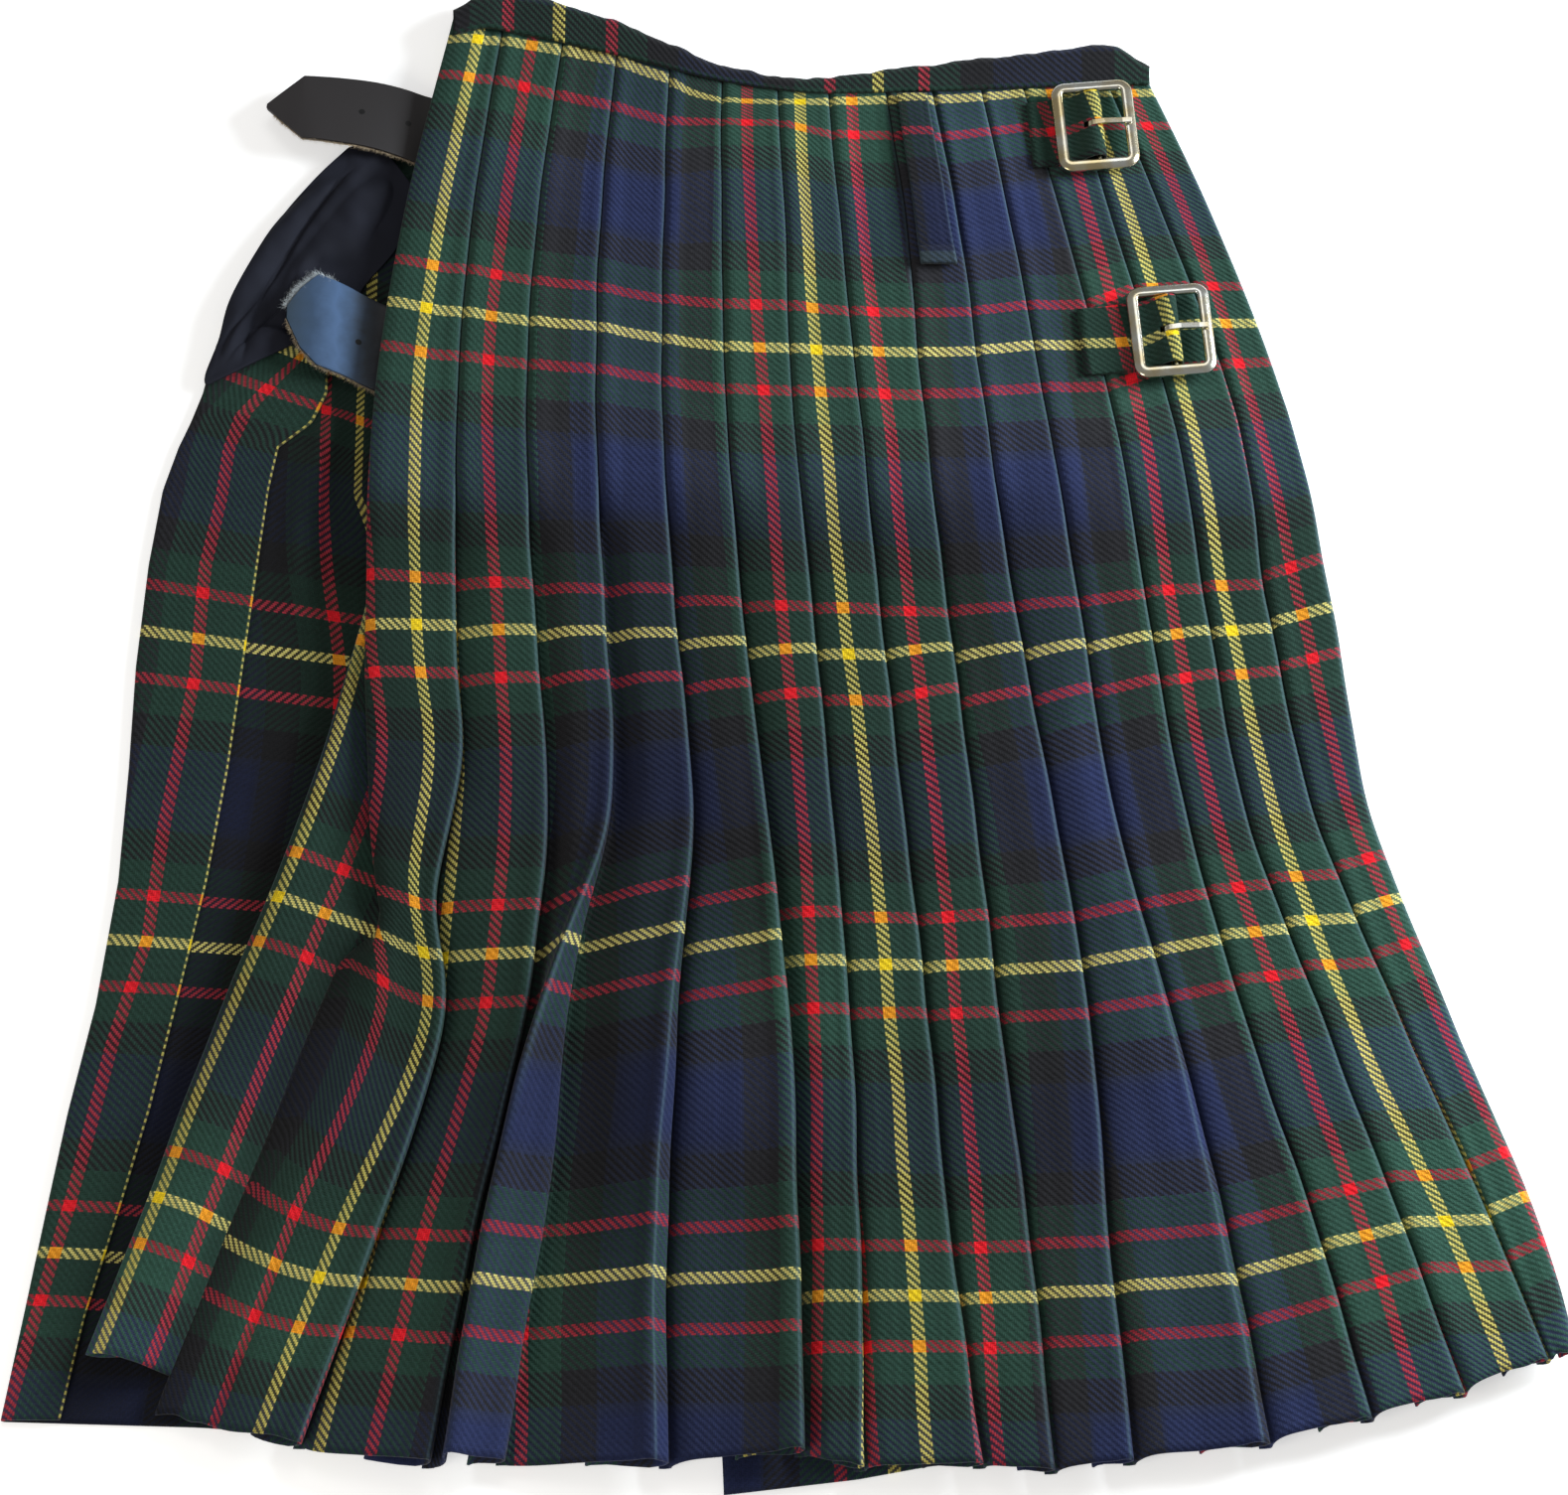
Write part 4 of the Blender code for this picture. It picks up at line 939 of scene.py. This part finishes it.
def add_waistband():
    """Sections along x: the outer face, the rolled top edge and a short leg turned under."""
    band = BandPoint(*zip(*BAND))
    x = np.linspace(band.x[0], band.x[-1], 260)[:, None]
    lower, top = smooth(band.x, band.lower, x), smooth(band.x, band.top, x) + 0.45 * waver(21, 14, x)
    face = LOW + 2 * LAYER_AT_WAIST + CLOTH + SEAM_GAP + BAND_LIFT
    face = face + LAYER_AT_WAIST * (1 - ease(*FIRST_PLEAT_ENDS, x))
    radius = (face - BAND_UNDERSIDE) / 2
    centre = top - radius
    angle = np.radians(np.linspace(-90, 90, 17))
    puckers = 0.25 * waver(22, 7, x) * (0.4 + 0.6 * np.sin(3 * angle))
    round_y = centre + (radius + puckers) * np.cos(angle)
    round_z = BAND_UNDERSIDE + radius * (1 + np.sin(angle))
    leg_y = np.concatenate((centre - BAND_LEG + radius, centre - 0.5 * BAND_LEG + 0.5 * radius), axis=1)
    face_y = centre + np.linspace(0, 1, 9)[1:] * (lower - centre)
    ys = np.concatenate((leg_y, round_y, face_y), axis=1)
    zs = np.concatenate((BAND_UNDERSIDE + 0 * leg_y, round_z, face + 0 * face_y), axis=1)
    sections = stacked(x, ys, zs)[:, ::-1]
    rows = sections.transpose(1, 0, 2)
    uv = stacked(line(BAND_COUNT, rows[..., 0]), BAND_COUNT_ALONG + run_length(sections).T / REPEAT)
    add_cloth("waistband_cloth", rows, uv, "waistband", CLOTH, {"painted_light": BAND_PAINTED_LIGHT})
    roots = np.concatenate((x, top, BAND_UNDERSIDE + radius), axis=1)
    add_fuzz("waistband_fuzz", spread_along(roots, 0, 1, 5, 34), (0, 0.9, 0.3), 1.5, WOOL_FUZZ,
             "waistband", 44)


def right_inside(y):
    """Where the aprons' right edges hide, just behind the last fold."""
    return fold_x(len(FOLDS) - 1, y) - EDGE_INSET


def add_over_apron():
    """The panel from its right edge to its left fold, the fold as a half turn, and the strip turned back
    over it. u counts from the strip's free edge, round the fold and over the panel's wrong side."""
    apron = ApronRow(*zip(*OVER_APRON))
    share, panel = grid(230, 90)
    panel = panel ** 0.6
    y = between(*(line(edge, between(edge[-1][0], edge[0][0], panel))
                  for edge in (OVER_APRON_HEM, OVER_APRON_WAIST)), share)
    low = CLOTH / 2
    strip_z = low + APRON_LAYER + STRIP_GAP
    turn_x = np.interp(y, apron.y, apron.fold) + APRON_TURN
    x = between(right_inside(y), turn_x, panel)
    ridge = RIDGE_RISE * bell(x - line(APRON_RIDGE, y), RIDGE_WIDTH) * ease(30, 70, y) * ease(128, 112, y)
    flat = stacked(x, y, low + ridge)
    edge_y, edge_turn = y[:, -1:], turn_x[:, -1:]
    angle = np.radians(np.linspace(-60, 60, 5))
    half = (strip_z - low) / 2
    fold = stacked(edge_turn - 1.2 * half * np.cos(angle), edge_y, low + half + half * np.sin(angle))
    strip = np.linspace(0, 1, 26)
    strip_x = between(edge_turn, np.interp(edge_y, apron.y, apron.strip_edge), strip)
    back = stacked(strip_x, edge_y, strip_z + STRIP_SWELL * np.sin(math.pi * strip))
    rows = np.concatenate((flat, fold, back), axis=1)
    on_strip = np.arange(rows.shape[1]) >= panel.size + 2
    x, y = rows[..., 0], rows[..., 1]
    past_red = x - line(STRIP_RED, y)
    to_edge = (STRIP_EDGE_COUNT + RED_COUNT) * past_red / np.maximum(past_red[:, -1:], 5)
    u_strip = -RED_COUNT + np.where(past_red > 0, to_edge, past_red / REPEAT)
    red_x = through(APRON_RED, y)
    past_red = x - red_x
    to_yellow = RED_COUNT * past_red / (line(APRON_YELLOW, y) - red_x)
    u_panel = RED_COUNT - 1 - np.where(past_red > 0, to_yellow, past_red / REPEAT)
    u = np.where(on_strip, u_strip, u_panel)
    v = through(APRON_CROSS, y + line(APRON_SLANT, y) * (x - APRON_SLANT_FROM))
    # painted shadow on the apron beside the flare's fold
    painted_shadow_by_flare = 1 - 0.45 * bell(along(FLARE_FOLD, y) - x, 16) * ease(40, -10, y)
    # painted light and shade: the wrong side dark, the turned strip brighter toward the hem
    apron_painted_light = np.where(on_strip, TURNED_STRIP_PAINTED_LIGHT + 0.5 * ease(-200, -265, y), WRONG_SIDE_PAINTED_LIGHT) * painted_shadow_by_flare
    add_cloth("over_apron_cloth", rows[::-1, ::-1], stacked(u, v)[::-1, ::-1], "over_apron", CLOTH,
              {"painted_light": apron_painted_light[::-1, ::-1]})


def add_under_apron():
    """A flat panel between the over apron and the pleats; only a strip of it shows, below the hem."""
    share, across = grid(120, 90)
    hem = line(UNDER_APRON_HEM, between(UNDER_APRON_HEM[0][0], UNDER_APRON_HEM[-1][0], across))
    y = between(hem, UNDER_APRON_WAIST, share)
    x = between(line(UNDER_APRON_LEFT, y), right_inside(y) - 1.0, across)
    uv = stacked(0.3 - x / REPEAT, (y - UNDER_APRON_YELLOW) / CROSS_APART)
    add_cloth("under_apron_cloth", stacked(x, y, CLOTH / 2 + APRON_LAYER), uv, "under_apron", CLOTH)


def add_lining():
    """A loose wall that lies over the apron in slanting folds, finer between them."""
    at = np.linspace(0, 1, len(LINING))
    share, across = grid(110, 110)
    edges = LiningRow(*(smooth(at, column, share) for column in zip(*LINING)))
    corner = 2.6 * (1 - np.sqrt(1 - np.clip(1 - share / 0.07, 0, 1) ** 2))
    x = between(edges.left_x + corner, edges.right_x, across)
    y = between(edges.left_y, edges.right_y, across)
    slant = across + 0.06 * np.sin(5 * share)
    near = np.sin(math.pi * np.clip(slant / 0.26, 0, 1)) ** 0.7
    far = np.sin(math.pi * np.clip((slant - 0.28) / 0.54, 0, 1)) ** 0.8
    pocket = ease(0.8, 0.9, across) * ease(0.4, 0.55, share)
    dip = bell(share - 0.43 + 0.12 * across, 0.035) * ease(0.38, 0.5, across)
    rise = LINING_RISE * (0.8 * near + 1.1 * far * (1 - 0.8 * dip) - 0.3 * pocket)
    rise = rise * (1 - ease(0.68, 0.85, share)) * ease(0, 0.12, share)
    beside_strap = ease(0.45, 0.75, across) * (1 - ease(0.3, 0.5, share))
    apron = ApronRow(*zip(*OVER_APRON))
    over_strip = (APRON_LAYER + 0.4) * (1 - ease(7, 14, x - np.interp(y, apron.y, apron.strip_edge)))
    crumple = 0.35 * waver(11, 14, x, y) * ease(0, 0.1, across) * (1 - ease(0.9, 1.0, across))
    creased = 0.0
    for crease in LINING_CREASES:
        crease_x, crease_y = zip(*crease[::-1])
        beside = 0.86 * (x - np.interp(y, crease_y, crease_x))
        runs = ease(crease_y[0], crease_y[0] + 12, y) * (1 - ease(crease_y[-1] - 12, crease_y[-1], y))
        proud = 0.7 * ease(0, 1.6, beside) * np.exp(-np.maximum(beside, 0) / 7)
        creased = creased + runs * (proud - 0.8 * bell(beside, 1.1))
    folds = np.maximum(rise + crumple + creased, 0) * (1 - 0.9 * beside_strap)
    rows = stacked(x, y, LINING_LOWEST + over_strip + folds)
    uv = stacked(x, y) / REPEAT
    piece = add_piece("lining_cloth", rows, uv, LINING_COTTON, "lining", LINING_SHOWN)


# ---- straps, tabs, loop, buckles


def add_strap(name, table, finish, node, blunt=1.0):
    """The strap's middle line with its width either side, as a wall of leather. A blunt lower corner
    reaches the strap's full width sooner than the upper one."""
    table = StrapPoint(*(np.array(column) for column in zip(*table)))
    x = np.linspace(table.x[0], table.x[-1], 80)
    columns = (table.y, table.underside, table.roll)
    middle, underside, roll = (smooth(table.x, column, x) for column in columns)
    half = np.interp(x, table.x, table.half_width)
    widest = half.max()
    lower_half = np.interp(x, table.x, widest * (table.half_width / widest) ** blunt)
    side = np.linspace(-1, 1, 33)[:, None]
    y = middle + side * np.where(side < 0, lower_half, half)
    rows = stacked(x, y, underside + LEATHER / 2 + roll * (1 - side) / 2)
    piece = add_piece(name, rows, stacked(x / 30, side), finish, node, LEATHER_SHOWN)
    soft = piece.modifiers.new("edge", "BEVEL")
    soft.width = 0.35 * MM
    soft.segments = 2
    return rows


def turned(points, buckle):
    """Points about a buckle's bar moved to where the bar lies."""
    angle = math.radians(buckle.turn_deg)
    cosine, sine = math.cos(angle), math.sin(angle)
    x, y, z = np.moveaxis(points, -1, 0)
    return stacked(buckle.x + x * cosine - y * sine, buckle.y + x * sine + y * cosine, buckle.axis_height + z)


def add_tab(which, buckle):
    """A tab of cloth from its lower layer round the bar and back over, slit in two beside the prong."""
    over = -BUCKLE_THICK / 2 - SEAM_GAP - CLOTH / 2
    window_left = -(BUCKLE_WIDTH / 2 - BUCKLE_RIM)
    end = -buckle.tab_length
    section = [(end, -TAB_DROP - TAB_SAG), (0.7 * end, -TAB_DROP - 0.8 * TAB_SAG), (-3.2, -TAB_DROP)]
    section += [(TAB_TURN * math.cos(a), TAB_TURN * math.sin(a)) for a in np.radians(TAB_TURN_DEG)]
    section += [(-3.6, 1.1), (-6.4, -0.9), (window_left + 1.4, over), (window_left - 3.5, over - 0.3),
                (0.7 * end, over - 1.0 - TAB_SAG), (end, over - 1.2 - TAB_SAG)]
    side = np.linspace(-TAB_WIDTH / 2, TAB_WIDTH / 2, 41)
    rows = knots_to_rows([stacked(x, side, z) for x, z in section], TAB_STEPS)
    in_slot = (np.abs(rows[..., 1]) < TAB_SLOT / 2 + 0.2) & (rows[..., 0] > TAB_SLOT_LEFT)
    rows = turned(rows, buckle)
    x, y = rows[..., 0], rows[..., 1]
    marked = LINES[TAB_PLEAT]
    u = marked.count + (x - along(marked.x, y)) / REPEAT
    v = count_along(CROSSES[TAB_PLEAT], buckle.x - TAB_OVERHANG, buckle.x + TAB_OVERHANG, x, y)
    node = f"buckle_tab_{which}"
    add_cloth(f"{node}_cloth", rows[::-1], stacked(u, v)[::-1], node, TAB_WALL,
              {"painted_light": TAB_PAINTED_LIGHT}, (in_slot[:-1, :-1] & in_slot[1:, 1:])[::-1])


def add_buckle_frame(which, buckle):
    """A bevelled section swept round a rectangle with round corners, and a round bar across its middle."""
    half_width, half_height = BUCKLE_WIDTH / 2 - BUCKLE_RIM / 2, BUCKLE_HEIGHT / 2 - BUCKLE_RIM / 2
    angles = np.radians(np.linspace(0, 90, 8))
    bend_at = np.array((half_width - BUCKLE_BEND, half_height - BUCKLE_BEND))
    path, out = [], []
    for quarter, corner in enumerate(((1, 1), (-1, 1), (-1, -1), (1, -1))):
        turn = angles + quarter * math.pi / 2
        out.append(stacked(np.cos(turn), np.sin(turn)))
        path.append(corner * bend_at + BUCKLE_BEND * out[-1])
    path, out = np.concatenate(path)[:, None], np.concatenate(out)[:, None]
    knots = [((across, up, 0),) for across, up in FRAME_SECTION + FRAME_SECTION[:1]]
    section = knots_to_rows(knots, (3,) * len(FRAME_SECTION))[0, :-1]
    flat = path + section[:, :1] * out
    rim = turned(stacked(flat[..., 0], flat[..., 1], section[:, 1])[::-1], buckle)
    length = np.linspace(-half_height, half_height, 12)[:, None]
    angle = np.linspace(0, 2 * math.pi, 15)
    bar = turned(stacked(MIDDLE_BAR * np.cos(angle), length, MIDDLE_BAR * np.sin(angle)), buckle)
    node = f"buckle_frame_{which}"
    for part, rows, ring in (("rim", rim, True), ("bar", bar, False)):
        add_piece(f"{node}_{part}", rows, 0 * rows[..., :2], METAL, node, ring=ring)


def add_fuzz(name, roots, outward, length, finish, node, seed):
    """Fibres as thin pointed blades, rooted at points and leaning outward by uneven amounts."""
    draw = np.random.default_rng(seed)
    count = len(roots)
    long = length * draw.uniform(0.3, 1.2, (count, 1))
    lean = outward + draw.normal(0, 0.45, (count, 3))
    lean = lean / np.linalg.norm(lean, axis=1, keepdims=True)
    side = np.cross(lean, draw.normal(0, 1, (count, 3)))
    side = FIBRE * side / np.linalg.norm(side, axis=1, keepdims=True)
    middle = roots + 0.6 * long * lean
    tips = roots + long * lean + 0.25 * long * draw.normal(0, 1, (count, 3))
    points = np.stack((roots - side, roots + side, middle + 0.8 * side, middle - 0.8 * side, tips), axis=1)
    first = 5 * np.arange(count)[:, None]
    faces = [*(first + (0, 1, 2, 3)), *(first + (3, 2, 4))]
    mesh = bpy.data.meshes.new(name)
    mesh.from_pydata((points.reshape(-1, 3) - MIDDLE) * MM, [], faces)
    add_mesh(name, mesh, finish, node)


def spread_along(edge, share_low, share_high, per_mm, seed):
    """Points spread at random along a stretch of an edge."""
    run = np.concatenate(((0,), np.cumsum(np.linalg.norm(np.diff(edge, axis=0), axis=1))))
    draw = np.random.default_rng(seed)
    at = run[-1] * draw.uniform(share_low, share_high, int(per_mm * run[-1] * (share_high - share_low)))
    return np.stack([np.interp(at, run, edge[:, axis]) for axis in range(3)], axis=1)


def add_belt_loop():
    """A doubled strip of cloth down the pleats: flat at its sewn ends and a little arched between."""
    share = np.linspace(1, 0, 90)[:, None]
    side = np.linspace(-1, 1, 15)[None, :]
    x, y = (between(top, foot, share) for top, foot in zip(LOOP_TOP, LOOP_FOOT))
    sewn = LOW + 2 * layer(y) + PLEAT_CROWN + CLOTH / 2 + SEAM_GAP + LOOP_THICK / 2
    foot = 0.5 * ease(0.9, 0.93, share)
    seams = 0.25 * bell(share - 0.9, 0.012) + 0.3 * bell(side - 0.62, 0.1)
    z = sewn + LOOP_ARCH * np.sin(math.pi * share) + 0.3 * (1 - side ** 4) + foot - seams
    half = LOOP_WIDTH / 2 * (0.82 + 0.18 * share)
    rows = stacked(x + side * half, y, z)
    v = count_along(CROSSES[LOOP_PLEAT], *LOOP_SPAN, rows[..., 0], rows[..., 1])
    # the loop's sides and foot get the wear and painted highlight of rubbed edges
    add_cloth("belt_loop_cloth", wander(rows), stacked(LOOP_COUNT + side * half / REPEAT, v), "belt_loop",
              LOOP_WALL,
              {"edge": 0.5 * (np.abs(side) > 0.9) + 0.5 * (share > 0.94), "painted_light": LOOP_PAINTED_LIGHT})


# ---- the whole kilt

add_over_apron()
add_under_apron()
add_flare()
for number in range(1, len(FOLDS)):
    add_pleat(number)
add_waistband()
add_lining()
upper = add_strap("strap_upper_leather", UPPER_STRAP, BROWN_LEATHER, "strap_upper")
lower = add_strap("strap_lower_leather", LOWER_STRAP, PAINTED_SHEEN_LEATHER, "strap_lower", LOWER_STRAP_BLUNT)
add_fuzz("strap_upper_raw_edge", spread_along(upper[0], 0.05, 0.95, 22, 31), (-0.2, -0.8, -0.2), 1.5,
         RAW_EDGE, "strap_upper", 41)
add_fuzz("strap_lower_frayed_left", spread_along(lower[-1], 0.0, 0.45, 45, 32), (-0.9, 0.3, 0.2), 2.9,
         FRAYED_EDGE, "strap_lower", 42)
add_fuzz("strap_lower_frayed_foot", spread_along(lower[0], 0.0, 0.9, 26, 33), (-0.6, -0.6, 0.1), 1.8,
         RAW_EDGE, "strap_lower", 43)
for which, buckle in BUCKLES.items():
    add_tab(which, buckle)
    add_buckle_frame(which, buckle)
add_belt_loop()
for name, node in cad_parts.items():
    if "prong" in name:
        node.data.materials.clear()
        node.data.materials.append(METAL)

# ---- table, light and camera

FLOOR = Finish("table_white", 0.9)
FLOOR.set("Base Color", (0.86, 0.86, 0.86))
FLOOR.set("Emission Color", (1.0, 1.0, 1.0))
FLOOR.set("Emission Strength", 0.5)
bpy.ops.mesh.primitive_plane_add(size=12, location=(0, 0, 0))
table = bpy.context.object
table.name = "table"
table.data.materials.append(FLOOR.material)

world = bpy.data.worlds.new("room")
bpy.context.scene.world = world
world.use_nodes = True
sky = world.node_tree.nodes["Background"].inputs
sky["Color"].default_value = (1.0, 0.98, 0.95, 1.0)
sky["Strength"].default_value = 0.28


def add_light(name, place, aim, size, power, colour):
    """A round lamp at a place, turned to what it lights."""
    lamp = bpy.data.lights.new(name, "AREA")
    lamp.shape = "DISK"
    lamp.size = size
    lamp.energy = power
    lamp.color = colour
    holder = bpy.data.objects.new(name, lamp)
    bpy.context.scene.collection.objects.link(holder)
    holder.location = place
    holder.rotation_euler = (Vector(aim) - Vector(place)).to_track_quat("-Z", "Y").to_euler()


add_light("window", (0.85, 0.3, 0.42), (0, 0.0, 0), 0.5, 17, (0.88, 0.95, 1.0))
add_light("ceiling", (0.1, 1.1, 2.3), (0, 0, 0), 1.2, 6, (1.0, 1.0, 1.0))
add_light("lamp", (-0.75, -0.85, 0.6), (-0.1, -0.1, 0), 0.6, 5, (1.0, 0.95, 0.86))

lens = bpy.data.cameras.new("camera")
lens.lens = 159.75
lens.sensor_width = 36
lens.sensor_fit = "HORIZONTAL"
lens.clip_end = 20
camera = bpy.data.objects.new("camera", lens)
camera.location = (-0.00184, -1.0303, 2.2432)
camera.rotation_euler = (math.radians(24.4), 0, 0)
bpy.context.scene.collection.objects.link(camera)
bpy.context.scene.camera = camera
bpy.context.scene.view_settings.view_transform = "Standard"
